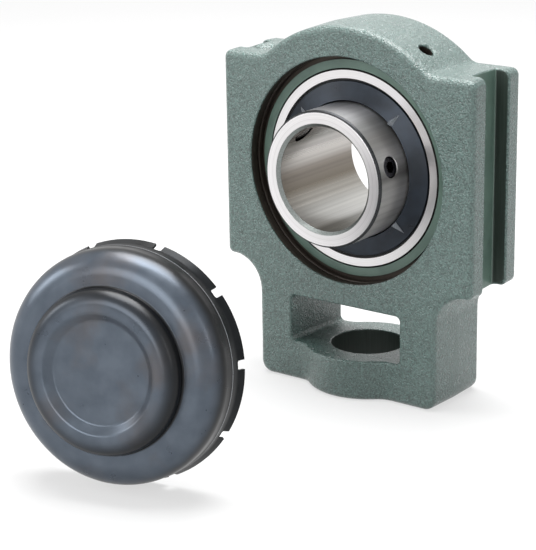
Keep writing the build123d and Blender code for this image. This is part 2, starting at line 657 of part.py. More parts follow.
def make_cover_clip():
    """Return the clip ring: nested in the cap, stepped out at the seam, with slotted spring fingers."""
    nest = COVER_RADIUS - COVER_SHEET - CLIP_NEST_CLEARANCE
    sheet = CLIP_SHEET
    ring = turned_points(
        [
            (nest - sheet, -CLIP_NEST),
            (nest, -CLIP_NEST),
            (nest, SEAM_GAP),
            (CLIP_BAND_RADIUS, SEAM_GAP),
            (CLIP_BAND_RADIUS, CLIP_BAND_Y),
            (CLIP_TIP_RADIUS, CLIP_TIP_Y),
            (CLIP_TIP_RADIUS - sheet, CLIP_TIP_Y),
            (CLIP_BAND_RADIUS - sheet, CLIP_BAND_Y),
            (CLIP_BAND_RADIUS - sheet, SEAM_GAP + sheet),
            (nest - sheet, SEAM_GAP + sheet),
        ]
    )
    slot = Rectangle(CLIP_SLOT_WIDTH, 2 * CLIP_SLOT_DEPTH)
    slot = fillet(slot.vertices(), CLIP_SLOT_ROUND)
    cutter = extrude(slot, CLIP_TIP_RADIUS)
    for number in range(CLIP_SLOT_COUNT):
        angle = CLIP_SLOT_PHASE + number * 360 / CLIP_SLOT_COUNT
        place = radial_place(CLIP_TIP_RADIUS / 2, angle, CLIP_TIP_Y)
        ring -= place * Rot(0, 0, 90) * cutter
    return ring


def cover_location():
    """Return where the cover stands: on its clip tips at floor level, turned and leaning a little."""
    lean = radians(COVER_LEAN)
    height = CLIP_TIP_RADIUS * cos(lean) + CLIP_TIP_Y * sin(lean)
    return Pos(COVER_X, COVER_Y, height - CENTRE_HEIGHT) * Rot(0, 0, COVER_YAW) * Rot(-COVER_LEAN, 0, 0)


def save(name, shape):
    """Write one node's STEP file."""
    solids = shape if isinstance(shape, list) else [shape]
    pieces = [solid for item in solids for solid in item.solids()]
    body = pieces[0] if len(pieces) == 1 else Compound(children=pieces)
    export_step(body, f"parts/{name}.step")


def main():
    """Build every node and write its file."""
    os.makedirs("parts", exist_ok=True)
    save("housing", make_housing())
    save("outer_ring", make_outer_ring())
    save("locking_pin", make_locking_pin())
    save("inner_ring", make_inner_ring())
    for number in range(2):
        save(f"set_screw_{number + 1}", make_set_screw(number))
    for number in range(BALL_COUNT):
        save(f"ball_{number + 1}", make_ball(number))
    cage_front = make_cage_half()
    save("cage_half_front", cage_front)
    save("cage_half_rear", turned_back(cage_front))
    save("cage_rivets", make_cage_rivets())
    seal = make_seal()
    save("seal_front", seal)
    save("seal_rear", turned_back(seal))
    slinger = make_slinger()
    save("slinger_front", slinger)
    save("slinger_rear", turned_back(slinger))
    place = cover_location()
    save("cover_cap", place * make_cover_cap())
    save("cover_clip_ring", place * make_cover_clip())


main()
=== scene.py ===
"""Take-up ball bearing unit with its closed dust cover standing beside it.

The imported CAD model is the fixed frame. Each sub-assembly below is a class that models its own pieces
on that frame in millimetres, gives them their finishes and says which body they move with.
"""

from __future__ import annotations

import json
import logging
import math
from dataclasses import dataclass
from enum import Enum, IntEnum

import bpy
from mathutils import Euler, Matrix, Vector

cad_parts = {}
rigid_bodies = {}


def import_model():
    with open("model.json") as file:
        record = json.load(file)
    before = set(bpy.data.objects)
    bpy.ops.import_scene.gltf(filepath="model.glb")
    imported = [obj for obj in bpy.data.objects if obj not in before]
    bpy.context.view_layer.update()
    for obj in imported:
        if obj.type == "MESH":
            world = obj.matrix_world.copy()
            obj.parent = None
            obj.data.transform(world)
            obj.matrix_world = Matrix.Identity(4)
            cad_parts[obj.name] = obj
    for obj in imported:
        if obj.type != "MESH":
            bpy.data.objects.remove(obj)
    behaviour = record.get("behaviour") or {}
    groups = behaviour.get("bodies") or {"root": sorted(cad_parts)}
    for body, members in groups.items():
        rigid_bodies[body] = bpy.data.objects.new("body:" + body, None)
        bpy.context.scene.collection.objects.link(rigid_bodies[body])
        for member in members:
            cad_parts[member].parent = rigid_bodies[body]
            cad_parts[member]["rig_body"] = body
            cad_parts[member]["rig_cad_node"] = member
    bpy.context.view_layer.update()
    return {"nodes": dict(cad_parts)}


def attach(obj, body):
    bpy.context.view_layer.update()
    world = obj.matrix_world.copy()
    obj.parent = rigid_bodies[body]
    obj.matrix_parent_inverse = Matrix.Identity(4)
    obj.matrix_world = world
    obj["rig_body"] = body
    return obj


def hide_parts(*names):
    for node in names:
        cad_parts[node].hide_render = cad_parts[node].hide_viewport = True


Section = list[tuple[float, float]]
Stops = tuple[tuple[float, str], ...]
Socket = bpy.types.NodeSocket

LOG = logging.getLogger("take_up_unit")
MM = 0.001
WELD = 1e-7
SKIN_WELD = 1e-6
SPUN_WELD = 2e-6
ENAMEL_IOR = 1.5
ALONG_SHAFT = (math.pi / 2, 0.0, 0.0)

# One turn of a rolled thread: how far it lies under the screw's radius, and its share of the pitch
THREAD = ((0.03, 0.4), (0.03, 0.55), (0.5, 0.95), (0.5, 1.0))

# Painted reflection bands round the shaft axis, light and dark as the steel would mirror its surroundings:
# degrees from +X by way of +Z, and the colour there
OUTSIDE_REFLECTION_BANDS: Stops = (
    (0.0, "#c9c7c5"),
    (8.0, "#9a9896"),
    (20.0, "#e0dedd"),
    (40.0, "#a5a3a1"),
    (54.0, "#aaaaaa"),
    (70.0, "#d6d6d8"),
    (96.0, "#8c8c8e"),
    (200.0, "#bab8b6"),
    (304.0, "#c8c8c8"),
    (330.0, "#c4c2c0"),
    (352.0, "#dcdad8"),
    (360.0, "#c9c7c5"),
)
BORE_REFLECTION_BANDS: Stops = (
    (0.0, "#b0aca6"),
    (128.0, "#726d6a"),
    (144.0, "#7a7975"),
    (156.0, "#a5a29f"),
    (172.0, "#bcb8b4"),
    (188.0, "#8a837b"),
    (204.0, "#80796f"),
    (216.0, "#a8a49d"),
    (236.0, "#c9c8c4"),
    (252.0, "#c4c3c0"),
    (266.0, "#8b8a85"),
    (360.0, "#b0aca6"),
)


class Blend(Enum):
    """How one solid is combined with another."""

    CUT = "DIFFERENCE"
    FUSE = "UNION"


class MixPort(IntEnum):
    """Numbers of the colour mixing node's sockets."""

    SHARE = 0
    FIRST = 6
    SECOND = 7
    RESULT = 2


class CastingSurface(IntEnum):
    """Surfaces of the casting, in the order of its finishes."""

    CAST = 0
    PAINTED = 1
    # Bare bored iron, its dark partly painted shade
    BARE = 2
    # Groove walls and the take-up hole: painted shade
    MILLED = 3


class RingSurface(IntEnum):
    """Surfaces of a ring, in the order of its finishes."""

    FACE = 0
    OUTSIDE = 1
    OUTER_CORNER = 2
    BORE = 3
    BORE_CORNER = 4


class SlingerSurface(IntEnum):
    """Surfaces of a slinger, in the order of its finishes."""

    SHEET = 0
    # Side facets of the ribs, which carry a painted highlight
    PINCHED = 1


def linear(code: str) -> tuple[float, float, float, float]:
    """Turn an sRGB hex colour into linear light.

    Args:
        code: Colour such as "#6b807a".

    Returns:
        Red, green, blue and an alpha of 1.
    """
    values = [int(code[i : i + 2], 16) / 255 for i in (1, 3, 5)]
    lit = [v / 12.92 if v <= 0.04045 else ((v + 0.055) / 1.055) ** 2.4 for v in values]
    return lit[0], lit[1], lit[2], 1.0


def add_node(
    tree: bpy.types.NodeTree,
    kind: str,
    inputs: dict[str | int, object] | None = None,
    **settings: object,
) -> bpy.types.Node:
    """Add one shader node, set it up and link what feeds it.

    Args:
        tree: Node tree that gets the node.
        kind: Node type, such as "ShaderNodeMath".
        inputs: Input name or number to a value, or to the output socket that feeds it.
        **settings: Attributes of the node itself.

    Returns:
        The new node.
    """
    node = tree.nodes.new(kind)
    for name, value in settings.items():
        setattr(node, name, value)
    for key, value in (inputs or {}).items():
        if isinstance(value, bpy.types.NodeSocket):
            tree.links.new(value, node.inputs[key])
        else:
            node.inputs[key].default_value = value
    return node


def new_tree(name: str) -> tuple[bpy.types.Material, bpy.types.NodeTree]:
    """Make a material with an empty node tree.

    Args:
        name: Name of the finish.

    Returns:
        The material and its tree.
    """
    material = bpy.data.materials.new(name)
    material.use_nodes = True
    material.node_tree.nodes.clear()
    return material, material.node_tree


def finish_surface(tree: bpy.types.NodeTree, inputs: dict[str, object]) -> None:
    """Close a tree with the surface shader and the output.

    Args:
        tree: Node tree of the finish.
        inputs: Values and sockets for the shader.
    """
    shader = add_node(tree, "ShaderNodeBsdfPrincipled", inputs)
    add_node(tree, "ShaderNodeOutputMaterial", {"Surface": shader.outputs["BSDF"]})


def figure(tree: bpy.types.NodeTree, operation: str, *terms: Socket | float) -> Socket:
    """Work out one value from others.

    Args:
        tree: Node tree that gets the sum.
        operation: Kind of sum, such as "MULTIPLY".
        *terms: Values and value sockets.

    Returns:
        Value socket.
    """
    return add_node(tree, "ShaderNodeMath", dict(enumerate(terms)), operation=operation).outputs["Value"]


def vector_figure(tree: bpy.types.NodeTree, operation: str, *terms: Socket | Vector) -> bpy.types.Node:
    """Work out a vector, or a value, from vectors.

    Args:
        tree: Node tree that gets the sum.
        operation: Kind of sum, such as "LENGTH".
        *terms: Vectors and vector sockets.

    Returns:
        The node, with its Vector and Value outputs.
    """
    return add_node(tree, "ShaderNodeVectorMath", dict(enumerate(terms)), operation=operation)


def object_place(tree: bpy.types.NodeTree) -> Socket:
    """Give each point's place in metres, in the frame that the whole part shares.

    Args:
        tree: Node tree of the finish.

    Returns:
        Vector socket.
    """
    return add_node(tree, "ShaderNodeTexCoord").outputs["Object"]


def noise(tree: bpy.types.NodeTree, place: Socket, scale: float, detail: float) -> Socket:
    """Give an even noise over a place.

    Args:
        tree: Node tree of the finish.
        place: Vector socket that the noise is laid on.
        scale: Lumps in one unit of the place.
        detail: Finer layers on top of the first.

    Returns:
        Socket with values about 0.5.
    """
    inputs = {"Vector": place, "Scale": scale, "Detail": detail}
    return add_node(tree, "ShaderNodeTexNoise", inputs).outputs["Fac"]


def grain(
    tree: bpy.types.NodeTree, size_mm: float, detail: float = 2.0, stretch: Vector | None = None
) -> Socket:
    """Give an even noise whose lumps have a real size.

    Args:
        tree: Node tree of the finish.
        size_mm: Width of one lump.
        detail: Finer layers on top of the first.
        stretch: Factors on X, Y and Z that squeeze the pattern.

    Returns:
        Socket with values about 0.5.
    """
    factors = Vector((1.0, 1.0, 1.0)) if stretch is None else stretch
    scaled = add_node(tree, "ShaderNodeMapping", {"Vector": object_place(tree), "Scale": factors})
    return noise(tree, scaled.outputs["Vector"], 1 / (size_mm * MM), detail)


def coordinates(tree: bpy.types.NodeTree) -> bpy.types.Node:
    """Split each point's place into its X, Y and Z outputs."""
    return add_node(tree, "ShaderNodeSeparateXYZ", {0: object_place(tree)})


def off_shaft(tree: bpy.types.NodeTree, split: bpy.types.Node) -> Socket:
    """Give the offset from the shaft axis.

    Args:
        tree: Node tree of the finish.
        split: Node with the coordinates.

    Returns:
        Vector socket.
    """
    across = add_node(tree, "ShaderNodeCombineXYZ", {"X": split.outputs["X"], "Z": split.outputs["Z"]})
    return across.outputs["Vector"]


def turning_lines(tree: bpy.types.NodeTree, pitch_mm: float) -> Socket:
    """Give fine lines that run round the shaft axis, as a lathe or grinder leaves them.

    Args:
        tree: Node tree of the finish.
        pitch_mm: Distance from line to line.

    Returns:
        Socket with values about 0.5.
    """
    split = coordinates(tree)
    radius = vector_figure(tree, "LENGTH", off_shaft(tree, split)).outputs["Value"]
    flat = add_node(tree, "ShaderNodeCombineXYZ", {"X": radius, "Y": split.outputs["Y"]})
    return noise(tree, flat.outputs["Vector"], 1 / (pitch_mm * MM), 3.0)


def axial_streaks(tree: bpy.types.NodeTree, count: float) -> Socket:
    """Give streaks that lie along the shaft axis and change only round it.

    Args:
        tree: Node tree of the finish.
        count: Rough number of streaks in half a turn.

    Returns:
        Socket with values about 0.5.
    """
    across = off_shaft(tree, coordinates(tree))
    outward = vector_figure(tree, "NORMALIZE", across).outputs["Vector"]
    return noise(tree, outward, count, 3.0)


def shaft_angle(tree: bpy.types.NodeTree) -> Socket:
    """Give the angle round the shaft axis, from +X by way of +Z, as a share of a full turn.

    Args:
        tree: Node tree of the finish.

    Returns:
        Socket with values from 0 to 1.
    """
    split = coordinates(tree)
    angle = figure(tree, "ARCTAN2", split.outputs["Z"], split.outputs["X"])
    return figure(tree, "FRACT", figure(tree, "DIVIDE", angle, math.tau))


def ramped(tree: bpy.types.NodeTree, amount: Socket, stops: Stops, blend: str = "EASE") -> Socket:
    """Run a value through a ramp of colours.

    Args:
        tree: Node tree of the finish.
        amount: Value from 0 to 1.
        stops: Place from 0 to 1 and sRGB hex colour of each stop, in order.
        blend: How the ramp runs from stop to stop.

    Returns:
        Colour socket.
    """
    ramp = add_node(tree, "ShaderNodeValToRGB", {"Fac": amount})
    ramp.color_ramp.interpolation = blend
    while len(ramp.color_ramp.elements) < len(stops):
        ramp.color_ramp.elements.new(1.0)
    for element, (place, _) in zip(ramp.color_ramp.elements, stops, strict=True):
        element.position = place
    for element, (_, colour) in zip(ramp.color_ramp.elements, stops, strict=True):
        element.color = linear(colour)
    return ramp.outputs["Color"]


def mixed(
    tree: bpy.types.NodeTree,
    amount: Socket | float,
    first: Socket | str,
    second: Socket | str,
    how: str = "MIX",
) -> Socket:
    """Mix two colours.

    Args:
        tree: Node tree of the finish.
        amount: Share of the second colour, 0 to 1.
        first: Colour socket or sRGB hex colour.
        second: Colour socket or sRGB hex colour.
        how: Blend type.

    Returns:
        Colour socket.
    """
    colours = [c if isinstance(c, bpy.types.NodeSocket) else linear(c) for c in (first, second)]
    inputs = {MixPort.SHARE: amount, MixPort.FIRST: colours[0], MixPort.SECOND: colours[1]}
    node = add_node(tree, "ShaderNodeMix", inputs, data_type="RGBA", blend_type=how)
    return node.outputs[MixPort.RESULT]


def tinted(
    tree: bpy.types.NodeTree,
    amount: Socket,
    low: str,
    high: str,
    span: tuple[float, float] = (0.35, 0.65),
) -> Socket:
    """Blend two colours by a noise.

    Args:
        tree: Node tree of the finish.
        amount: Noise that drives the blend.
        low: sRGB hex colour at the start of the span.
        high: sRGB hex colour at its end.
        span: Noise values where the blend starts and ends.

    Returns:
        Colour socket.
    """
    return ramped(tree, amount, ((span[0], low), (span[1], high)), "LINEAR")


def spread(tree: bpy.types.NodeTree, amount: Socket, low: float, high: float) -> Socket:
    """Stretch the middle of a noise to a range of values.

    Args:
        tree: Node tree of the finish.
        amount: Noise about 0.5.
        low: Value at the noise's 0.3.
        high: Value at the noise's 0.7.

    Returns:
        Value socket.
    """
    node = add_node(
        tree,
        "ShaderNodeMapRange",
        {"Value": amount, "From Min": 0.3, "From Max": 0.7, "To Min": low, "To Max": high},
    )
    return node.outputs["Result"]


def raised(
    tree: bpy.types.NodeTree, height: Socket, depth_mm: float, below: Socket | None = None
) -> Socket:
    """Turn a pattern into relief.

    Args:
        tree: Node tree of the finish.
        height: Pattern from 0 to 1.
        depth_mm: Real height of the relief.
        below: Normal of a coarser relief under this one.

    Returns:
        Normal socket.
    """
    inputs: dict[str | int, object] = {"Height": height, "Distance": depth_mm * MM, "Strength": 1.0}
    if below is not None:
        inputs["Normal"] = below
    return add_node(tree, "ShaderNodeBump", inputs).outputs["Normal"]


@dataclass(frozen=True)
class CastPaint:
    """Green enamel sprayed on a sand casting: the sand's pits read through as a fine leathery skin."""

    name: str = "enamel_on_sand_casting"
    pit: str = "#273c37"
    crest: str = "#556e69"
    skin_mm: float = 0.6
    skin_height_mm: float = 0.46
    lump_mm: float = 2.4
    lump_height_mm: float = 0.14
    roughness: float = 0.3
    gloss: float = 0.7

    def build(self) -> bpy.types.Material:
        """Return the finish for the outside of the casting."""
        material, tree = new_tree(self.name)
        lump = grain(tree, self.lump_mm, 1.0)
        skin = grain(tree, self.skin_mm, 2.0)
        coarse = raised(tree, lump, self.lump_height_mm)
        leather = raised(tree, skin, self.skin_height_mm, coarse)
        finish_surface(
            tree,
            {
                "Base Color": tinted(tree, skin, self.pit, self.crest, (0.32, 0.68)),
                "Roughness": spread(tree, lump, self.roughness - 0.06, self.roughness + 0.08),
                "Normal": leather,
                "IOR": ENAMEL_IOR,
                "Coat Weight": self.gloss,
                "Coat Roughness": self.roughness - 0.05,
                "Coat Normal": leather,
            },
        )
        return material


@dataclass(frozen=True)
class MachinedPaint:
    """The same enamel where it lies on a milled or turned face: smooth, a little darker."""

    name: str = "enamel_on_machined_iron"
    shade: str = "#4c6158"
    light: str = "#566c62"
    pitch_mm: float = 0.5
    relief_mm: float = 0.006
    cloud_mm: float = 9.0
    roughness: float = 0.34

    def build(self) -> bpy.types.Material:
        """Return the finish for the painted machined faces."""
        material, tree = new_tree(self.name)
        lines = turning_lines(tree, self.pitch_mm)
        cloud = grain(tree, self.cloud_mm, 2.0)
        finish_surface(
            tree,
            {
                "Base Color": tinted(tree, cloud, self.shade, self.light),
                "Roughness": self.roughness,
                "Normal": raised(tree, lines, self.relief_mm),
                "IOR": ENAMEL_IOR,
            },
        )
        return material


@dataclass(frozen=True)
class TurnedIronWithShade:
    """Grey iron bored after painting and oiled, with turning lines; its dark brown-grey is partly painted
    shade, for the recess wall, the seat and the lubrication holes.
    """

    name: str = "turned_iron_partly_painted_shade"
    shade: str = "#2b2622"
    light: str = "#4a423b"
    pitch_mm: float = 0.45
    relief_mm: float = 0.02
    roughness: float = 0.42
    metallic: float = 0.55

    def build(self) -> bpy.types.Material:
        """Return the finish for the bored recess and the seat."""
        material, tree = new_tree(self.name)
        lines = turning_lines(tree, self.pitch_mm)
        finish_surface(
            tree,
            {
                "Base Color": tinted(tree, lines, self.shade, self.light, (0.35, 0.7)),
                "Metallic": self.metallic,
                "Roughness": self.roughness,
                "Normal": raised(tree, lines, self.relief_mm),
            },
        )
        return material


@dataclass(frozen=True)
class PaintedShadeWall:
    """Dark dull green on the milled guide groove walls and inside the take-up hole: painted shade, where
    these deep walls lie in shadow.
    """

    name: str = "painted_shade_on_deep_walls"
    shade: str = "#242d28"
    light: str = "#2f3a34"
    lines_mm: float = 0.6
    lengthwise: float = 0.03
    relief_mm: float = 0.02
    roughness: float = 0.5

    def build(self) -> bpy.types.Material:
        """Return the painted shade finish for the groove walls and the take-up hole."""
        material, tree = new_tree(self.name)
        lines = grain(tree, self.lines_mm, 2.0, Vector((1.0, 1.0, self.lengthwise)))
        finish_surface(
            tree,
            {
                "Base Color": tinted(tree, lines, self.shade, self.light),
                "Roughness": self.roughness,
                "Normal": raised(tree, lines, self.relief_mm),
                "IOR": ENAMEL_IOR,
            },
        )
        return material


@dataclass(frozen=True)
class GroundSteel:
    """Through-hardened bearing steel, face-ground: bright silver with the wheel's marks round the axis."""

    name: str = "face_ground_bearing_steel"
    shade: str = "#d0cece"
    light: str = "#e8e6e7"
    pitch_mm: float = 0.35
    relief_mm: float = 0.0035
    roughness: float = 0.3

    def build(self) -> bpy.types.Material:
        """Return the finish for the rings' flat faces."""
        material, tree = new_tree(self.name)
        lines = turning_lines(tree, self.pitch_mm)
        finish_surface(
            tree,
            {
                "Base Color": tinted(tree, lines, self.shade, self.light, (0.3, 0.7)),
                "Metallic": 1.0,
                "Roughness": self.roughness,
                "Normal": raised(tree, lines, self.relief_mm),
            },
        )
        return material


@dataclass(frozen=True)
class ReflectionBandedSteel:
    """Round-ground bearing steel wiped with preserving oil, with smears along the axis; its light and dark
    bands round the axis are painted reflection.
    """

    name: str
    reflection_bands: Stops
    smear: str = "#b4b4b4"
    clear: str = "#ffffff"
    smeared: float = 0.32
    streaks: float = 13.0
    pitch_mm: float = 0.4
    relief_mm: float = 0.004
    roughness: float = 0.3
    brushed: float = 0.4
    metallic: float = 1.0

    def build(self) -> bpy.types.Material:
        """Return the finish for the bore or the outside of a ring."""
        material, tree = new_tree(self.name)
        lines = turning_lines(tree, self.pitch_mm)
        streaks = axial_streaks(tree, self.streaks)
        # Painted reflection: light and dark bands round the shaft axis
        stops = tuple((degrees / 360, colour) for degrees, colour in self.reflection_bands)
        painted_reflection = ramped(tree, shaft_angle(tree), stops)
        smears = tinted(tree, streaks, self.smear, self.clear, (0.34, 0.6))
        wiped = mixed(tree, self.smeared, painted_reflection, smears, "MULTIPLY")
        tangent = add_node(tree, "ShaderNodeTangent", direction_type="RADIAL", axis="Y")
        finish_surface(
            tree,
            {
                "Base Color": wiped,
                "Metallic": self.metallic,
                "Roughness": spread(tree, streaks, self.roughness + 0.05, self.roughness - 0.04),
                "Anisotropic": self.brushed,
                "Tangent": tangent.outputs["Tangent"],
                "Normal": raised(tree, lines, self.relief_mm),
            },
        )
        return material


@dataclass(frozen=True)
class BlackenedSheet:
    """Pressed steel sheet, phosphated and oiled: blue-black satin with faint brown clouds."""

    name: str = "blackened_pressed_sheet"
    shade: str = "#474f59"
    light: str = "#505862"
    rust: str = "#4f4b4b"
    stain_mm: float = 21.0
    cloud_mm: float = 7.0
    grain_mm: float = 0.5
    relief_mm: float = 0.004
    roughness: float = 0.31
    metallic: float = 0.6
    specular: float = 0.5

    def build(self) -> bpy.types.Material:
        """Return the finish for the slingers and the clip ring."""
        material, tree = new_tree(self.name)
        self.close(tree, self.clouded(tree))
        return material

    def clouded(self, tree: bpy.types.NodeTree) -> Socket:
        """Lay brown clouds over the blue-black.

        Args:
            tree: Node tree of the finish.

        Returns:
            Colour socket.
        """
        stain = grain(tree, self.stain_mm, 5.0)
        base = tinted(tree, grain(tree, self.cloud_mm, 4.0), self.shade, self.light)
        return mixed(tree, spread(tree, stain, -0.9, 0.7), base, self.rust)

    def close(self, tree: bpy.types.NodeTree, colour: Socket) -> None:
        """Finish the tree with the sheet's satin gloss.

        Args:
            tree: Node tree of the finish.
            colour: Colour socket.
        """
        cloud = grain(tree, self.cloud_mm, 4.0)
        fine = grain(tree, self.grain_mm, 2.0)
        finish_surface(
            tree,
            {
                "Base Color": colour,
                "Metallic": self.metallic,
                "Specular IOR Level": self.specular,
                "Roughness": spread(tree, cloud, self.roughness - 0.04, self.roughness + 0.05),
                "Normal": raised(tree, fine, self.relief_mm),
            },
        )


@dataclass(frozen=True)
class DrawnSheet(BlackenedSheet):
    """The same sheet with painted shade and a painted highlight: its wall and the foot of its step are
    near black, and a light line runs round its rim.
    """

    origin: Vector = Vector()
    axis: Vector = Vector((0.0, 1.0, 0.0))
    wall_from: float = -11.0
    wall_to: float = -5.5
    rim: float = 0.5
    step_radius: float = 28.7
    step_inside: float = 7.0
    step_outside: tuple[float, float] = (0.9, 0.3)
    painted_shade: str = "#121315"
    painted_highlight: str = "#a4a8ad"

    def build(self) -> bpy.types.Material:
        """Return the finish for the cover's cap."""
        material, tree = new_tree(self.name)
        off = vector_figure(tree, "SUBTRACT", object_place(tree), self.origin).outputs["Vector"]
        along = vector_figure(tree, "DOT_PRODUCT", off, self.axis).outputs["Value"]
        around = vector_figure(tree, "CROSS_PRODUCT", off, self.axis).outputs["Vector"]
        radius = vector_figure(tree, "LENGTH", around).outputs["Value"]
        wall = self.ranged(tree, along, self.wall_from, self.wall_to)
        inside = self.ranged(tree, radius, self.step_radius - self.step_inside, self.step_radius)
        edges = [self.step_radius + reach for reach in self.step_outside]
        outside = self.ranged(tree, radius, *edges)
        # Painted shade: near black on the wall and round the foot of the step
        dark = figure(tree, "MAXIMUM", wall, figure(tree, "MULTIPLY", inside, outside))
        drawn = mixed(tree, dark, self.clouded(tree), self.painted_shade)
        # Painted highlight: a light line round the rim
        rim = self.ranged(tree, along, -self.rim, 0.0)
        self.close(tree, mixed(tree, rim, drawn, self.painted_highlight))
        return material

    def ranged(self, tree: bpy.types.NodeTree, value: Socket, start: float, end: float) -> Socket:
        """Turn a distance into a share that rises smoothly from 0 to 1.

        Args:
            tree: Node tree of the finish.
            value: Distance in metres.
            start: Distance in millimetres where the share is 0.
            end: Distance in millimetres where it is 1.

        Returns:
            Value socket.
        """
        node = add_node(
            tree,
            "ShaderNodeMapRange",
            {"Value": value, "From Min": start * MM, "From Max": end * MM},
            interpolation_type="SMOOTHSTEP",
        )
        return node.outputs["Result"]


@dataclass(frozen=True)
class PlainMetal:
    """A small metal piece with one even finish and a fine grain in its gloss."""

    name: str
    shade: str
    light: str
    roughness: float
    metallic: float = 1.0
    grain_mm: float = 0.6
    relief_mm: float = 0.003

    def build(self) -> bpy.types.Material:
        """Return the finish."""
        material, tree = new_tree(self.name)
        fine = grain(tree, self.grain_mm, 2.0)
        finish_surface(
            tree,
            {
                "Base Color": tinted(tree, fine, self.shade, self.light),
                "Metallic": self.metallic,
                "Roughness": spread(tree, fine, self.roughness - 0.03, self.roughness + 0.04),
                "Normal": raised(tree, fine, self.relief_mm),
            },
        )
        return material


def deselect() -> None:
    """Leave edit mode and select nothing."""
    if bpy.context.object is not None and bpy.context.object.mode != "OBJECT":
        bpy.ops.object.mode_set(mode="OBJECT")
    bpy.ops.object.select_all(action="DESELECT")


def settle(piece: bpy.types.Object) -> None:
    """Put a piece's place into its mesh, so that its object sits at the origin.

    Args:
        piece: Finished piece.
    """
    deselect()
    piece.select_set(True)
    bpy.context.view_layer.objects.active = piece
    bpy.ops.object.transform_apply(location=True, rotation=True, scale=True)


def smooth(piece: bpy.types.Object, degrees: float = 32.0) -> None:
    """Shade a piece smooth except over its sharp edges, with its flat faces kept flat.

    Args:
        piece: Piece to shade.
        degrees: Edges sharper than this stay sharp.
    """
    deselect()
    piece.select_set(True)
    bpy.context.view_layer.objects.active = piece
    bpy.ops.object.shade_smooth_by_angle(angle=math.radians(degrees))
    apply_modifier(piece, "WEIGHTED_NORMAL", mode="FACE_AREA", weight=80, keep_sharp=True)


def apply_modifier(piece: bpy.types.Object, kind: str, **settings: object) -> None:
    """Add a modifier, set it up and apply it.

    Args:
        piece: Piece to change.
        kind: Modifier type.
        **settings: Attributes of the modifier.
    """
    deselect()
    piece.select_set(True)
    bpy.context.view_layer.objects.active = piece
    modifier = piece.modifiers.new(kind.lower(), kind)
    for name, value in settings.items():
        setattr(modifier, name, value)
    bpy.ops.object.modifier_apply(modifier=modifier.name)


def combine(piece: bpy.types.Object, tool: bpy.types.Object, how: Blend) -> None:
    """Cut a tool from a piece or fuse it on, and remove the tool.

    Args:
        piece: Piece to change.
        tool: Closed solid.
        how: Cut or fuse.
    """
    apply_modifier(piece, "BOOLEAN", object=tool, operation=how.value, solver="EXACT")
    bpy.data.objects.remove(tool, do_unlink=True)


def arc(centre: tuple[float, float], radius: float, start: float, end: float, steps: int) -> Section:
    """List points on an arc of a section.

    Args:
        centre: Radius and y of the arc's centre.
        radius: Radius of the arc.
        start: First angle in degrees, from outwards towards +Y.
        end: Last angle in degrees.
        steps: Number of straight runs.

    Returns:
        Points from start to end.
    """
    points = []
    for i in range(steps + 1):
        angle = math.radians(start + (end - start) * i / steps)
        points.append((centre[0] + radius * math.cos(angle), centre[1] + radius * math.sin(angle)))
    return points


def eased(section: Section, rounds: dict[int, float], steps: int = 5) -> Section:
    """Round chosen corners of a closed section.

    Args:
        section: Corners in order.
        rounds: Corner number to its radius.
        steps: Straight runs in each round.

    Returns:
        Section with the corners replaced by arcs.
    """
    points: Section = []
    count = len(section)
    for index, corner in enumerate(section):
        if index not in rounds:
            points.append(corner)
            continue
        here = Vector(corner)
        before = (Vector(section[index - 1]) - here).normalized()
        after = (Vector(section[(index + 1) % count]) - here).normalized()
        half = before.angle(after) / 2
        reach = rounds[index] / math.tan(half)
        middle = here + (before + after).normalized() * rounds[index] / math.sin(half)
        first = here + before * reach - middle
        last = here + after * reach - middle
        for step in range(steps + 1):
            ray = first.lerp(last, step / steps).normalized() * rounds[index]
            points.append(tuple(middle + ray))
    return points


def turn(name: str, section: Section, steps: int = 192, closed: bool = True) -> bpy.types.Object:
    """Spin a section round the shaft axis.

    Args:
        name: Name of the piece.
        section: Radius and y of its corners in millimetres.
        steps: Number of steps round the axis.
        closed: Whether the section's last corner joins its first.

    Returns:
        The turned piece.
    """
    deselect()
    radius, along = section[0]
    bpy.ops.mesh.primitive_plane_add(size=MM, location=(radius * MM, along * MM, 0))
    piece = bpy.context.active_object
    piece.name = name
    bpy.ops.object.transform_apply(location=True, rotation=True, scale=True)
    bpy.ops.object.mode_set(mode="EDIT")
    bpy.ops.mesh.select_all(action="SELECT")
    bpy.ops.mesh.merge(type="CENTER")
    corners = section[1:] + section[:1] if closed else section[1:]
    for corner in corners:
        move = ((corner[0] - radius) * MM, (corner[1] - along) * MM, 0)
        bpy.ops.mesh.extrude_region_move(TRANSFORM_OT_translate={"value": move})
        radius, along = corner
    bpy.ops.mesh.select_all(action="SELECT")
    bpy.ops.mesh.remove_doubles(threshold=WELD)
    bpy.ops.mesh.select_all(action="SELECT")
    bpy.ops.mesh.spin(steps=steps, angle=math.tau, center=(0, 0, 0), axis=(0, 1, 0), use_auto_merge=True)
    bpy.ops.mesh.select_all(action="SELECT")
    bpy.ops.mesh.remove_doubles(threshold=SPUN_WELD)
    bpy.ops.mesh.normals_make_consistent(inside=False)
    bpy.ops.object.mode_set(mode="OBJECT")
    return piece


def round_tool(
    name: str,
    radius: float,
    length: float,
    centre: Vector,
    direction: Vector,
    end_radius: float | None = None,
) -> bpy.types.Object:
    """Make a round cutter.

    Args:
        name: Name of the cutter.
        radius: Radius in millimetres, at the start of its length.
        length: Length in millimetres.
        centre: Middle of the cutter in millimetres.
        direction: Way that it points.
        end_radius: Radius at its far end, where it is a cone.

    Returns:
        The cutter.
    """
    deselect()
    turn_to = Vector((0, 0, 1)).rotation_difference(direction.normalized()).to_euler()
    bpy.ops.mesh.primitive_cone_add(
        vertices=64,
        radius1=radius * MM,
        radius2=(radius if end_radius is None else end_radius) * MM,
        depth=length * MM,
        location=centre * MM,
        rotation=turn_to,
    )
    tool = bpy.context.active_object
    tool.name = name
    return tool


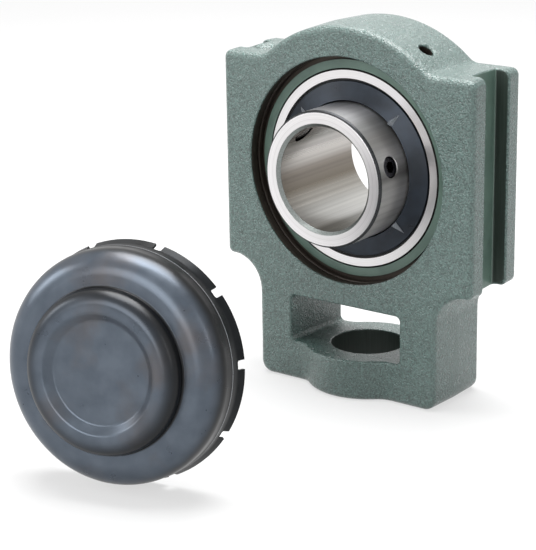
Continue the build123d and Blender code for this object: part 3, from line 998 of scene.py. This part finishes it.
def welded_copy(node: bpy.types.Object, name: str) -> bpy.types.Object:
    """Copy a CAD node and weld its loose triangles into one skin.

    Args:
        node: CAD node.
        name: Name of the copy.

    Returns:
        The copy, not yet riding on a body.
    """
    deselect()
    copy = node.copy()
    copy.data = node.data.copy()
    copy.parent = None
    copy.matrix_world = Matrix.Identity(4)
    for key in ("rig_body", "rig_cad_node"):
        if key in copy:
            del copy[key]
    copy.name = name
    bpy.context.scene.collection.objects.link(copy)
    copy.select_set(True)
    bpy.context.view_layer.objects.active = copy
    bpy.ops.object.mode_set(mode="EDIT")
    bpy.ops.mesh.select_all(action="SELECT")
    bpy.ops.mesh.remove_doubles(threshold=SKIN_WELD)
    bpy.ops.object.mode_set(mode="OBJECT")
    return copy


def dress(piece: bpy.types.Object, *finishes: bpy.types.Material) -> None:
    """Give a piece its finishes, the first one for every face.

    Args:
        piece: Piece or CAD node.
        *finishes: Materials in slot order.
    """
    piece.data.materials.clear()
    for finish in finishes:
        piece.data.materials.append(finish)


def place_piece(piece: bpy.types.Object, body: str, slot: str, *nodes: str) -> None:
    """Say what a piece moves with, and hide the CAD nodes that it stands for.

    Args:
        piece: Finished piece.
        body: CAD body that carries it.
        slot: Material slot of the record; not used.
        *nodes: CAD nodes that it replaces.
    """
    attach(piece, body)
    if nodes:
        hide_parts(*nodes)
    LOG.info("%s rides on %s with %d faces", piece.name, body, len(piece.data.polygons))


@dataclass
class HousingCasting:
    """The slotted take-up housing."""

    recess_radius: float = 44.0
    painted_inset: float = 1.9
    snap_groove_depth: float = 0.8
    annulus_y: float = 10.3
    lip_y: float = 15.85
    groove_floor: float = 51.0
    groove_half: float = 8.0
    groove_mouth: float = 55.5
    groove_wall_facing: float = 0.8
    groove_floor_facing: float = 0.6
    seat_radius: float = 40.05
    seat_margin: float = 2.0
    lube_angles: tuple[float, float] = (58.8, 136.0)
    lube_y: float = -4.2
    lube_radius: float = 2.8
    lube_reach: float = 58.0
    take_up_radius: float = 14.55
    take_up_top: float = -70.0
    take_up_lean: float = 0.5
    edge_margin: float = 0.05
    floor_margin: float = 0.1
    wall_margin: float = 0.01
    sharp_degrees: float = 24.0

    def build(self, node: bpy.types.Object) -> bpy.types.Object:
        """Weld the casting's skin and give each machined face its own finish.

        Args:
            node: CAD node of the housing.

        Returns:
            The finished casting.
        """
        casting = welded_copy(node, "housing_casting")
        smooth(casting, self.sharp_degrees)
        dress(
            casting,
            CastPaint().build(),
            MachinedPaint().build(),
            TurnedIronWithShade().build(),
            PaintedShadeWall().build(),
        )
        for face in casting.data.polygons:
            face.material_index = self.region(face.center / MM, face.normal)
        place_piece(casting, "housing", "housing_paint", "housing")
        return casting

    def region(self, centre: Vector, normal: Vector) -> CastingSurface:
        """Say which finish a face has.

        Args:
            centre: Middle of the face in millimetres.
            normal: Its outward direction.

        Returns:
            The surface that the face belongs to.
        """
        radius = math.hypot(centre.x, centre.z)
        depth = abs(centre.y)
        turned = math.degrees(math.atan2(centre.z, centre.x))
        # Lubrication holes get the bare iron finish, whose dark is partly painted shade
        for angle in self.lube_angles:
            off = math.hypot(radius * math.sin(math.radians(turned - angle)), centre.y - self.lube_y)
            if centre.z > 0 and off < self.lube_radius and radius < self.lube_reach:
                return CastingSurface.BARE
        in_take_up = centre.z < self.take_up_top and math.hypot(centre.x, centre.y) < self.take_up_radius
        # The take-up hole's wall gets the painted shade finish
        if in_take_up and abs(normal.z) < self.take_up_lean:
            return CastingSurface.MILLED
        # Seat, recess wall and snap groove get the bare iron finish, whose dark is partly painted shade
        if radius < self.seat_radius + self.seat_margin and depth < self.annulus_y - self.edge_margin:
            return CastingSurface.BARE
        if radius < self.recess_radius - self.painted_inset and depth < self.lip_y:
            return CastingSurface.PAINTED
        if radius < self.recess_radius + self.snap_groove_depth + self.edge_margin and depth < self.lip_y:
            return CastingSurface.BARE
        past_floor = abs(centre.x) > self.groove_floor - self.floor_margin
        if past_floor and depth < self.groove_half + self.wall_margin:
            # Groove walls facing front or back get the painted shade finish
            if abs(normal.y) > self.groove_wall_facing and abs(centre.x) < self.groove_mouth:
                return CastingSurface.MILLED
            if abs(normal.x) > self.groove_floor_facing:
                return CastingSurface.PAINTED
        return CastingSurface.CAST


@dataclass
class BearingInsert:
    """The self-aligning ball bearing insert: rings, seals, slingers and set screws."""

    ring_half: float = 10.5
    outside: float = 40.0
    outer_bore: float = 34.6
    outer_shoulder: float = 33.6
    edge: float = 0.8
    seal_groove_inner: float = 7.4
    seal_groove_outer: float = 9.0
    seal_groove_depth: float = 0.9
    outer_race_radius: float = 6.24
    outer_race_bottom: float = 36.02
    inner_race_radius: float = 6.18
    inner_race_bottom: float = 23.98
    inner_outside: float = 26.2
    inner_front: float = 30.2
    inner_rear: float = 19.0
    bore: float = 20.0
    bore_chamfer: float = 1.3
    corner: float = 1.1
    bore_break: float = 0.25
    flat_facing: float = 0.97
    screw_radius: float = 4.0
    screw_hole: float = 4.08
    screw_y: float = -22.2
    screw_phase: float = 15.0
    screw_pitch: float = 120.0
    screw_seat: float = 0.3
    screw_short: float = 0.6
    screw_lead: float = 0.7
    screw_point: float = 1.0
    screw_bevel: float = 0.35
    thread_pitch: float = 1.0
    thread_depth: float = 0.5
    thread_end: float = 0.3
    socket_across: float = 4.0
    socket_depth: float = 3.0
    drill_length: float = 16.0
    sink_depth: float = 2.0
    sink_narrow: float = 0.8
    sink_flare: float = 1.2
    slinger_rim: float = 33.8
    slinger_rim_y: float = 10.2
    slinger_hub_y: float = 12.0
    slinger_sheet: float = 0.8
    slinger_hub: float = 0.9
    slinger_lip: float = 0.9
    slinger_bead: float = 0.15
    ribs: int = 4
    rib_phase: float = 48.0
    rib_sink: float = 0.3
    rib_length: float = 5.4
    rib_half_width: float = 1.2
    rib_height: float = 2.3
    rib_lean: float = 0.3

    def outer_section(self) -> Section:
        """Return the outer ring's section."""
        half = self.ring_half - self.edge
        tilt = math.degrees(math.asin(half / self.outside))
        centre = self.outer_race_bottom - self.outer_race_radius
        race = math.degrees(math.acos((self.outer_shoulder - centre) / self.outer_race_radius))
        seal = self.outer_bore + self.seal_groove_depth
        front = [
            (self.outer_shoulder, -self.seal_groove_inner),
            (seal, -self.seal_groove_inner),
            (seal, -self.seal_groove_outer),
            (self.outer_bore, -self.seal_groove_outer),
            (self.outer_bore, -self.ring_half + self.bore_break),
            (self.outer_bore + self.bore_break, -self.ring_half),
        ]
        sphere = arc((0.0, 0.0), self.outside, -tilt, tilt, 24)
        edge = (sphere[0][0] - self.edge, -self.ring_half)
        back = [(radius, -along) for radius, along in reversed(front)]
        raceway = arc((centre, 0.0), self.outer_race_radius, race, -race, 16)
        return [edge] + sphere + [(edge[0], self.ring_half)] + back + raceway + front

    def inner_section(self) -> Section:
        """Return the inner ring's section."""
        centre = self.inner_race_bottom + self.inner_race_radius
        race = math.degrees(math.acos((centre - self.inner_outside) / self.inner_race_radius))
        raceway = arc((centre, 0.0), self.inner_race_radius, 180 + race, 180 - race, 16)
        mouth = self.bore + self.bore_chamfer
        corners = [
            (self.inner_outside, self.inner_rear),
            (mouth, self.inner_rear),
            (self.bore, self.inner_rear - self.bore_chamfer),
            (self.bore, -self.inner_front + self.bore_chamfer),
            (mouth, -self.inner_front),
            (self.inner_outside, -self.inner_front),
        ]
        rounds = {0: self.corner, 1: 0.2, 2: 0.3, 3: 0.3, 4: 0.2, 5: self.corner}
        return raceway + eased(corners, rounds)

    def slinger_cone(self) -> tuple[float, float]:
        """Return the radius where a slinger's cone starts and its rise per millimetre outwards."""
        hub = self.inner_outside + self.slinger_hub
        return hub, (self.slinger_hub_y - self.slinger_rim_y) / (self.slinger_rim - hub)

    def slinger_section(self) -> Section:
        """Return a slinger's section, as the front one lies."""
        sheet = self.slinger_sheet
        collar = 3 * sheet
        hub, slope = self.slinger_cone()
        corners = [
            (self.inner_outside, -self.slinger_hub_y + collar),
            (self.inner_outside, -self.slinger_hub_y + 2 * sheet),
            (self.inner_outside + sheet * 0.7, -self.slinger_hub_y - self.slinger_bead),
            (hub, -self.slinger_hub_y),
            (self.slinger_rim, -self.slinger_rim_y),
            (self.slinger_rim, -self.slinger_rim_y + self.slinger_lip),
            (self.slinger_rim - sheet, -self.slinger_rim_y + self.slinger_lip),
            (self.slinger_rim - sheet, -self.slinger_rim_y + sheet - slope * sheet),
            (hub, -self.slinger_hub_y + sheet),
            (hub, -self.slinger_hub_y + collar),
        ]
        return eased(corners, {2: 0.15, 4: 0.3}, 4)

    def dress_ring(
        self,
        ring: bpy.types.Object,
        ends: tuple[float, float],
        corner: float,
        *finishes: bpy.types.Material,
    ) -> None:
        """Give a ring's ground faces, round surfaces and unground corners their finishes.

        Args:
            ring: Outer or inner ring.
            ends: Place of its two faces along the shaft.
            corner: Height of its corners.
            *finishes: Finish of the faces, outside, outer corners, bore and bore corners.
        """
        dress(ring, *finishes)
        for face in ring.data.polygons:
            along = face.center.y / MM
            at_end = along < ends[0] + corner or along > ends[1] - corner
            outward = face.center.x * face.normal.x + face.center.z * face.normal.z > 0
            if abs(face.normal.y) > self.flat_facing:
                face.material_index = RingSurface.FACE
            elif outward:
                face.material_index = RingSurface.OUTER_CORNER if at_end else RingSurface.OUTSIDE
            else:
                face.material_index = RingSurface.BORE_CORNER if at_end else RingSurface.BORE

    def build_outer(self, steel: bpy.types.Material, skin: bpy.types.Material) -> None:
        """Turn the outer ring.

        Args:
            steel: Finish of its ground surfaces.
            skin: Finish of its unground corners.
        """
        ring = turn("outer_ring_ground", self.outer_section())
        smooth(ring)
        ends = (-self.ring_half, self.ring_half)
        self.dress_ring(ring, ends, self.edge, steel, steel, skin, steel, skin)
        place_piece(ring, "outer_ring", "ring_steel", "outer_ring")

    def build_inner(self, *finishes: bpy.types.Material) -> None:
        """Turn the inner ring and drill its two screw holes.

        Args:
            *finishes: Finish of the faces, outside, outer corners, bore and bore corners.
        """
        ring = turn("inner_ring_ground", self.inner_section())
        for number in range(2):
            direction = self.screw_direction(number)
            middle = direction * (self.inner_outside + self.bore) / 2
            middle.y = self.screw_y
            drill = round_tool("drill", self.screw_hole, self.drill_length, middle, direction)
            combine(ring, drill, Blend.CUT)
            mouth = direction * self.inner_outside
            mouth.y = self.screw_y
            narrow = self.screw_hole - self.sink_narrow
            wide = self.screw_hole + self.sink_flare
            sink = round_tool("sink", narrow, self.sink_depth, mouth, direction, wide)
            combine(ring, sink, Blend.CUT)
        smooth(ring)
        self.dress_ring(ring, (-self.inner_front, self.inner_rear), self.bore_chamfer, *finishes)
        place_piece(ring, "inner_ring", "ring_steel", "inner_ring")

    def screw_direction(self, number: int) -> Vector:
        """Return the outward direction of one set screw."""
        angle = math.radians(self.screw_phase + number * self.screw_pitch)
        return Vector((math.cos(angle), 0.0, math.sin(angle)))

    def build_slingers(self, sheet: bpy.types.Material, painted_highlight: bpy.types.Material) -> None:
        """Press the two slingers, each with four pinched ribs.

        Args:
            sheet: Blackened sheet steel.
            painted_highlight: Light sheet on the ribs' side facets, as a painted highlight.
        """
        for name, facing in (("slinger_front", 0.0), ("slinger_rear", math.pi)):
            ring = turn(f"{name}_pressing", self.slinger_section())
            for number in range(self.ribs):
                combine(ring, self.rib(self.rib_phase + number * 360 / self.ribs), Blend.FUSE)
            ring.rotation_euler = Euler((0, 0, facing))
            settle(ring)
            smooth(ring, 28.0)
            dress(ring, sheet, painted_highlight)
            for face in ring.data.polygons:
                outward = Vector((face.center.x, 0.0, face.center.z)).normalized()
                sideways = abs(outward.cross(face.normal).y)
                # The ribs' side facets get the painted highlight
                pinched = sideways > self.rib_lean
                face.material_index = SlingerSurface.PINCHED if pinched else SlingerSurface.SHEET
            place_piece(ring, "inner_ring", "slinger_steel", name)

    def rib(self, angle: float) -> bpy.types.Object:
        """Model one pinched rib: a sharp tent that runs out towards the rim.

        Args:
            angle: Angle of the rib in degrees from +X towards +Z.

        Returns:
            The rib, ready to fuse.
        """
        deselect()
        hub, slope = self.slinger_cone()
        half = self.rib_length / 2
        middle = Vector((0, -self.slinger_hub_y + slope * half, hub - self.rib_sink + half))
        bpy.ops.mesh.primitive_cone_add(vertices=4, radius1=MM, radius2=0.0, depth=self.rib_length * MM)
        rib = bpy.context.active_object
        rib.matrix_world = (
            Matrix.Rotation(-math.radians(angle - 90), 4, "Y")
            @ Matrix.Translation(middle * MM)
            @ Matrix.Rotation(-math.atan(slope), 4, "X")
            @ Matrix.Diagonal((self.rib_half_width, self.rib_height, 1.0, 1.0))
        )
        settle(rib)
        return rib

    def build_screws(self, oxide: bpy.types.Material) -> None:
        """Model the two set screws and dress them.

        Args:
            oxide: Black-oxide steel.
        """
        for number in range(2):
            name = f"set_screw_{number + 1}"
            screw = self.screw(f"{name}_threaded", number)
            dress(screw, oxide)
            place_piece(screw, name, "screw_steel", name)

    def screw(self, name: str, number: int) -> bpy.types.Object:
        """Model one socket set screw with a rolled thread.

        Args:
            name: Name of the piece.
            number: 0 or 1, for its place round the ring.

        Returns:
            The screw in its place.
        """
        length = self.inner_outside - self.bore - self.screw_short
        radius, pitch, along = self.screw_radius, self.thread_pitch, self.screw_lead
        section: Section = [(0.0, 0.0), (radius - self.screw_point, 0.0)]
        section.append((radius - self.screw_bevel, along))
        while along + pitch < length - self.thread_end:
            section += [(radius - under, along + pitch * share) for under, share in THREAD]
            along += pitch
        section.append((radius - 0.1, length - self.screw_bevel))
        section += [(radius - self.thread_depth, length), (0.0, length)]
        screw = turn(name, section, 48, closed=False)
        deselect()
        bpy.ops.mesh.primitive_cylinder_add(
            vertices=6,
            radius=self.socket_across / math.sqrt(3) * MM,
            depth=2 * self.socket_depth * MM,
            location=(0, length * MM, 0),
            rotation=ALONG_SHAFT,
        )
        combine(screw, bpy.context.active_object, Blend.CUT)
        direction = self.screw_direction(number)
        inner = direction * (self.bore + self.screw_seat)
        inner.y = self.screw_y
        turn_to = Vector((0, 1, 0)).rotation_difference(direction).to_matrix().to_4x4()
        screw.matrix_world = Matrix.Translation(inner * MM) @ turn_to
        settle(screw)
        smooth(screw, 20.0)
        return screw


@dataclass
class DustCover:
    """The closed dust cover: a deep-drawn cap over a slotted clip ring."""

    radius: float = 41.1
    sheet: float = 1.1
    face: float = 12.4
    shoulder: float = 8.4
    dome_radius: float = 28.7
    dome_top: float = 19.2
    dome_edge: float = 4.8
    rim_flare: float = 0.25
    flare_start: float = 1.1
    flare_end: float = 0.5
    panel_radius: float = 18.1
    panel_slope: float = 2.8
    panel: float = 16.8
    step_thinning: float = 0.4
    nest_depth: float = 3.6
    nest_gap: float = 0.05
    seam_bevel: float = 0.35
    seam_step: float = 0.1
    band_bevel: float = 0.3
    seam: float = 0.6
    band: float = 40.9
    band_end: float = 3.6
    tip: float = 42.4
    tip_end: float = 7.4
    clip_sheet: float = 1.0
    slots: int = 10
    slot_phase: float = 5.4
    slot_width: float = 3.4
    slot_depth: float = 3.0
    slot_corner: float = 0.35
    slot_corner_degrees: float = 0.5
    slot_margin: float = 0.02
    finger_spring: float = 0.06
    clip_steps: int = 720
    cap_steps: int = 240
    centre: tuple[float, float] = (-11.6, -131.2)
    yaw: float = 14.1
    lean: float = 7.9
    floor: float = -88.0

    def stand(self, piece: bpy.types.Object) -> None:
        """Stand a piece of the cover on the floor beside the housing.

        Args:
            piece: Piece modelled on the cover's own axis.
        """
        turned = Matrix.Rotation(math.radians(self.yaw), 4, "Z")
        tipped = Matrix.Rotation(-math.radians(self.lean), 4, "X")
        piece.matrix_world = Matrix.Translation(self.place()) @ (turned @ tipped)
        settle(piece)

    def axis(self) -> Vector:
        """Return the direction of the cover's axis, from its face to its rim."""
        yaw, lean = math.radians(self.yaw), math.radians(self.lean)
        return Vector((-math.sin(yaw) * math.cos(lean), math.cos(yaw) * math.cos(lean), -math.sin(lean)))

    def place(self) -> Vector:
        """Return the middle of the cap's rim in metres, so high that the clip's tips touch the floor."""
        lean = math.radians(self.lean)
        height = self.tip * math.cos(lean) + self.tip_end * math.sin(lean) + self.floor
        return Vector((*self.centre, height)) * MM

    def cap_section(self) -> Section:
        """Return the cap's section from its axis outside to its rim and back inside."""
        slope_top = self.panel_radius + self.panel_slope
        outer = [
            (0.0, -self.panel),
            (self.panel_radius, -self.panel),
            (slope_top, -self.dome_top),
            (self.dome_radius, -self.dome_top),
            (self.dome_radius, -self.face),
            (self.radius, -self.face),
            (self.radius, -self.flare_start),
            (self.radius + self.rim_flare, -self.flare_end),
            (self.radius + self.rim_flare, 0.0),
        ]
        outside = eased(outer, {1: 1.4, 2: 1.6, 3: self.dome_edge, 4: 0.8, 5: self.shoulder}, 12)
        inner = [
            (0.0, -self.panel + self.sheet),
            (self.panel_radius + self.step_thinning, -self.panel + self.sheet),
            (slope_top + self.step_thinning, -self.dome_top + self.sheet),
            (self.dome_radius - self.sheet, -self.dome_top + self.sheet),
            (self.dome_radius - self.sheet, -self.face + self.sheet),
            (self.radius - self.sheet, -self.face + self.sheet),
            (self.radius - self.sheet, 0.0),
        ]
        inner_edge = self.dome_edge - self.sheet
        inside = eased(inner, {1: 1.2, 2: 1.0, 3: inner_edge, 4: 1.9, 5: self.shoulder - self.sheet}, 10)
        return outside + list(reversed(inside))

    def build_cap(self) -> None:
        """Draw the cap."""
        sheet = DrawnSheet(name="drawn_sheet_painted_shade_and_highlight", origin=self.place(), axis=self.axis())
        cap = turn("cover_cap_drawn", self.cap_section(), self.cap_steps, closed=False)
        self.stand(cap)
        smooth(cap)
        dress(cap, sheet.build())
        place_piece(cap, "housing", "cover_steel", "cover_cap")

    def build_clip(self, sheet: bpy.types.Material) -> None:
        """Press the clip ring and notch its fingers.

        Args:
            sheet: Blackened sheet steel.
        """
        nest = self.radius - self.sheet - self.nest_gap
        notch = self.tip_end - self.slot_depth
        rise = (self.tip - self.band) * (notch - self.band_end) / (self.tip_end - self.band_end)
        line = self.band + rise
        section = [
            (nest, -self.nest_depth),
            (nest, self.seam - self.seam_bevel),
            (nest + self.seam_step, self.seam),
            (self.band - self.band_bevel, self.seam),
            (self.band, self.seam + self.band_bevel),
            (self.band, self.band_end),
            (line, notch),
            (line + self.finger_spring, notch + self.slot_corner),
            (self.tip, self.tip_end),
        ]
        clip = turn("cover_clip_pressed", section, self.clip_steps, closed=False)
        self.notch(clip, notch)
        apply_modifier(clip, "SOLIDIFY", thickness=self.clip_sheet * MM, offset=-1.0)
        self.stand(clip)
        smooth(clip)
        dress(clip, sheet)
        place_piece(clip, "housing", "cover_steel", "cover_clip_ring")

    def notch(self, clip: bpy.types.Object, start: float) -> None:
        """Cut the slots out of the clip ring's rear edge.

        Args:
            clip: Thin shell of the clip ring.
            start: Where the slots begin along the axis.
        """
        deselect()
        bpy.context.view_layer.objects.active = clip
        bpy.ops.object.mode_set(mode="EDIT")
        bpy.ops.mesh.select_mode(type="FACE")
        bpy.ops.mesh.select_all(action="DESELECT")
        bpy.ops.object.mode_set(mode="OBJECT")
        half = math.degrees(self.slot_width / 2 / self.tip)
        pitch = 360 / self.slots
        for face in clip.data.polygons:
            angle = math.degrees(math.atan2(face.center.z, face.center.x)) - self.slot_phase
            off = abs((angle + pitch / 2) % pitch - pitch / 2)
            depth = face.center.y / MM - start
            reach = half - self.slot_corner_degrees if depth < self.slot_corner else half
            face.select = depth > self.slot_margin and off < reach
        bpy.ops.object.mode_set(mode="EDIT")
        bpy.ops.mesh.delete(type="FACE")
        bpy.ops.object.mode_set(mode="OBJECT")


@dataclass
class Studio:
    """Pale floor, soft light and the camera."""

    paper: str = "#d0d0d0"
    floor_size: float = 8.0
    floor_gap: float = 0.00005
    floor_z: float = -88.0
    floor_white: float = 0.62
    fade_from: float = 0.35
    fade_to: float = 1.2
    room_rise: tuple[float, float] = (-0.2, 0.9)
    room_light: tuple[float, float] = (0.2, 0.55)
    aim: tuple[float, float, float] = (0.0, -0.05, 0.0)
    azimuth: float = 37.54
    elevation: float = 17.38
    roll: float = -0.93
    camera_at: tuple[float, float, float] = (0.41419, -0.60296, 0.18454)
    lens: float = 128.55
    sensor: float = 36.0
    reach: tuple[float, float] = (0.05, 50.0)

    def build(self) -> None:
        """Set up everything round the object."""
        self.build_floor()
        self.build_world()
        self.build_lamps()
        self.build_camera()
        bpy.context.scene.view_settings.view_transform = "Standard"

    def build_floor(self) -> None:
        """Lay the floor, which keeps the object's shadow."""
        deselect()
        height = self.floor_z * MM - self.floor_gap
        bpy.ops.mesh.primitive_plane_add(size=self.floor_size, location=(0, 0, height))
        floor = bpy.context.active_object
        floor.name = "studio_floor"
        material, tree = new_tree("white_paper_sweep")
        paper = add_node(
            tree,
            "ShaderNodeBsdfPrincipled",
            {"Base Color": linear(self.paper), "Roughness": 0.9, "Specular IOR Level": 0.1},
        )
        white = add_node(tree, "ShaderNodeEmission", {"Strength": 1.0})
        near = figure(tree, "MULTIPLY", self.seen_rays(tree), self.floor_white)
        share = figure(tree, "MAXIMUM", near, self.far_floor(tree))
        mix = add_node(
            tree,
            "ShaderNodeMixShader",
            {0: share, 1: paper.outputs["BSDF"], 2: white.outputs["Emission"]},
        )
        add_node(tree, "ShaderNodeOutputMaterial", {"Surface": mix.outputs["Shader"]})
        floor.data.materials.append(material)

    def far_floor(self, tree: bpy.types.NodeTree) -> Socket:
        """Give how far the paper has faded to plain white, which only the camera sees.

        Args:
            tree: Node tree of the floor.

        Returns:
            Value socket, 0 near the object and 1 far from it.
        """
        away = vector_figure(tree, "LENGTH", object_place(tree)).outputs["Value"]
        fade = add_node(
            tree,
            "ShaderNodeMapRange",
            {"Value": away, "From Min": self.fade_from, "From Max": self.fade_to},
        )
        path = add_node(tree, "ShaderNodeLightPath")
        return figure(tree, "MULTIPLY", fade.outputs["Result"], path.outputs["Is Camera Ray"])

    def seen_rays(self, tree: bpy.types.NodeTree) -> Socket:
        """Give 1 for rays that show the backdrop: to the camera, in gloss and through glass.

        Args:
            tree: Node tree of the floor or the world.

        Returns:
            Value socket, 0 or 1.
        """
        path = add_node(tree, "ShaderNodeLightPath")
        gloss = figure(tree, "MAXIMUM", path.outputs["Is Camera Ray"], path.outputs["Is Glossy Ray"])
        return figure(tree, "MAXIMUM", gloss, path.outputs["Is Transmission Ray"])

    def build_world(self) -> None:
        """Surround the scene with a soft white room, a little darker low down."""
        world = bpy.data.worlds.new("white_room")
        bpy.context.scene.world = world
        world.use_nodes = True
        tree = world.node_tree
        tree.nodes.clear()
        place = add_node(tree, "ShaderNodeTexCoord")
        split = add_node(tree, "ShaderNodeSeparateXYZ", {0: place.outputs["Generated"]})
        strength = add_node(
            tree,
            "ShaderNodeMapRange",
            {
                "Value": split.outputs["Z"],
                "From Min": self.room_rise[0],
                "From Max": self.room_rise[1],
                "To Min": self.room_light[0],
                "To Max": self.room_light[1],
            },
        )
        plain = (1, 1, 1, 1)
        room = add_node(
            tree,
            "ShaderNodeBackground",
            {"Color": plain, "Strength": strength.outputs["Result"]},
        )
        white = add_node(tree, "ShaderNodeBackground", {"Color": plain, "Strength": 1.0})
        mix = add_node(
            tree,
            "ShaderNodeMixShader",
            {0: self.seen_rays(tree), 1: room.outputs["Background"], 2: white.outputs["Background"]},
        )
        add_node(tree, "ShaderNodeOutputWorld", {"Surface": mix.outputs["Shader"]})

    def build_lamps(self) -> None:
        """Hang the soft boxes overhead, in front, at the right as a tall strip, and at the left."""
        self.soft_box("overhead_box", (-0.1, 0.1, 1.0), (0.8, 0.8), 26.0)
        self.soft_box("front_box", (0.0, -1.3, 0.4), (0.7, 0.7), 7.0)
        self.soft_box("right_strip", (0.95, -0.2, 0.4), (0.1, 0.55), 0.9)
        self.soft_box("left_box", (-0.95, -0.7, 0.45), (0.4, 0.4), 4.0)

    def soft_box(
        self, name: str, at: tuple[float, float, float], sides: tuple[float, float], power: float
    ) -> None:
        """Hang one soft box that faces the object.

        Args:
            name: Name of the lamp.
            at: Its place in metres.
            sides: Width and height of the box in metres.
            power: Its power in watts.
        """
        data = bpy.data.lights.new(name, "AREA")
        data.shape = "RECTANGLE"
        data.size, data.size_y = sides
        data.energy = power
        lamp = bpy.data.objects.new(name, data)
        lamp.location = at
        lamp.rotation_euler = (Vector(self.aim) - Vector(at)).to_track_quat("-Z", "Y").to_euler()
        bpy.context.scene.collection.objects.link(lamp)

    def build_camera(self) -> None:
        """Stand the camera where the photograph was taken."""
        azimuth, elevation, roll = (math.radians(a) for a in (self.azimuth, self.elevation, self.roll))
        back = Vector(
            (
                math.sin(azimuth) * math.cos(elevation),
                -math.cos(azimuth) * math.cos(elevation),
                math.sin(elevation),
            )
        )
        right = Vector((0, 0, 1)).cross(back).normalized()
        up = back.cross(right)
        level = math.cos(roll) * right + math.sin(roll) * up
        upright = -math.sin(roll) * right + math.cos(roll) * up
        data = bpy.data.cameras.new("camera")
        data.lens = self.lens
        data.sensor_width = self.sensor
        data.clip_start, data.clip_end = self.reach
        camera = bpy.data.objects.new("camera", data)
        turned = Matrix((level, upright, back)).transposed().to_4x4()
        camera.matrix_world = Matrix.Translation(Vector(self.camera_at)) @ turned
        bpy.context.scene.collection.objects.link(camera)
        bpy.context.scene.camera = camera


def dress_hidden_nodes(nodes: dict[str, bpy.types.Object]) -> None:
    """Give the pieces inside the bearing their finishes.

    Args:
        nodes: CAD nodes by name.
    """
    ball = PlainMetal("lapped_ball_steel", "#d9d9d8", "#e6e6e6", 0.08, relief_mm=0.0).build()
    pressed = PlainMetal("pressed_cage_steel", "#8f8b84", "#a09c95", 0.38).build()
    rubber = PlainMetal("moulded_nitrile_rubber", "#17181a", "#1f2123", 0.6, metallic=0.0).build()
    pin = PlainMetal("bright_pin_steel", "#b9b7b3", "#c6c4c1", 0.3).build()
    finishes = {"ball": ball, "cage": pressed, "seal": rubber, "locking": pin}
    for name, node in nodes.items():
        finish = finishes.get(name.split("_")[0])
        if finish is not None:
            dress(node, finish)


def build_insert() -> None:
    """Build the bearing insert in its steels."""
    insert = BearingInsert()
    steel = GroundSteel().build()
    skin = PlainMetal("hardening_skin", "#3b3937", "#464442", 0.4)
    insert.build_outer(steel, skin.build())
    # The outside and the bore carry painted reflection bands
    outside = ReflectionBandedSteel("round_ground_steel_painted_reflection", OUTSIDE_REFLECTION_BANDS, roughness=0.4, metallic=0.85)
    # Near black on the inner ring's outer corners: painted reflection of dark surroundings
    corner = PlainMetal("corner_steel_painted_dark_reflection", "#303132", "#3d3e40", 0.32)
    bore = ReflectionBandedSteel("honed_bore_painted_reflection", BORE_REFLECTION_BANDS)
    mouth = PlainMetal("turned_mouth_steel", "#7b807e", "#8a8f8d", 0.35)
    insert.build_inner(steel, outside.build(), corner.build(), bore.build(), mouth.build())
    sheet = BlackenedSheet("blackened_slinger_sheet", shade="#1e232a", light="#272e37", rust="#25292e")
    # Light sheet on the slinger ribs' side facets: a painted highlight
    painted_highlight = PlainMetal("slinger_rib_painted_highlight", "#8d939a", "#a6acb2", 0.3, metallic=0.3)
    insert.build_slingers(sheet.build(), painted_highlight.build())
    oxide = PlainMetal("black_oxide_screw_steel", "#37373b", "#47474c", 0.24)
    insert.build_screws(oxide.build())


def build_cover() -> None:
    """Build the dust cover in its blackened sheet."""
    cover = DustCover()
    cover.build_cap()
    # Near black, low-gloss clip ring: painted shade on the cover's rim, darker than the cap's sheet
    sheet = BlackenedSheet(
        "clip_sheet_painted_shade", shade="#121416", light="#1b1d1f", rust="#1a1816", specular=0.15
    )
    cover.build_clip(sheet.build())


def main() -> None:
    """Build the unit on its frame."""
    logging.basicConfig(level=logging.INFO, format="%(name)s: %(message)s")
    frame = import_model()
    nodes = frame["nodes"]
    HousingCasting().build(nodes["housing"])
    build_insert()
    build_cover()
    dress_hidden_nodes(nodes)
    Studio().build()


if __name__ == "__main__":
    main()
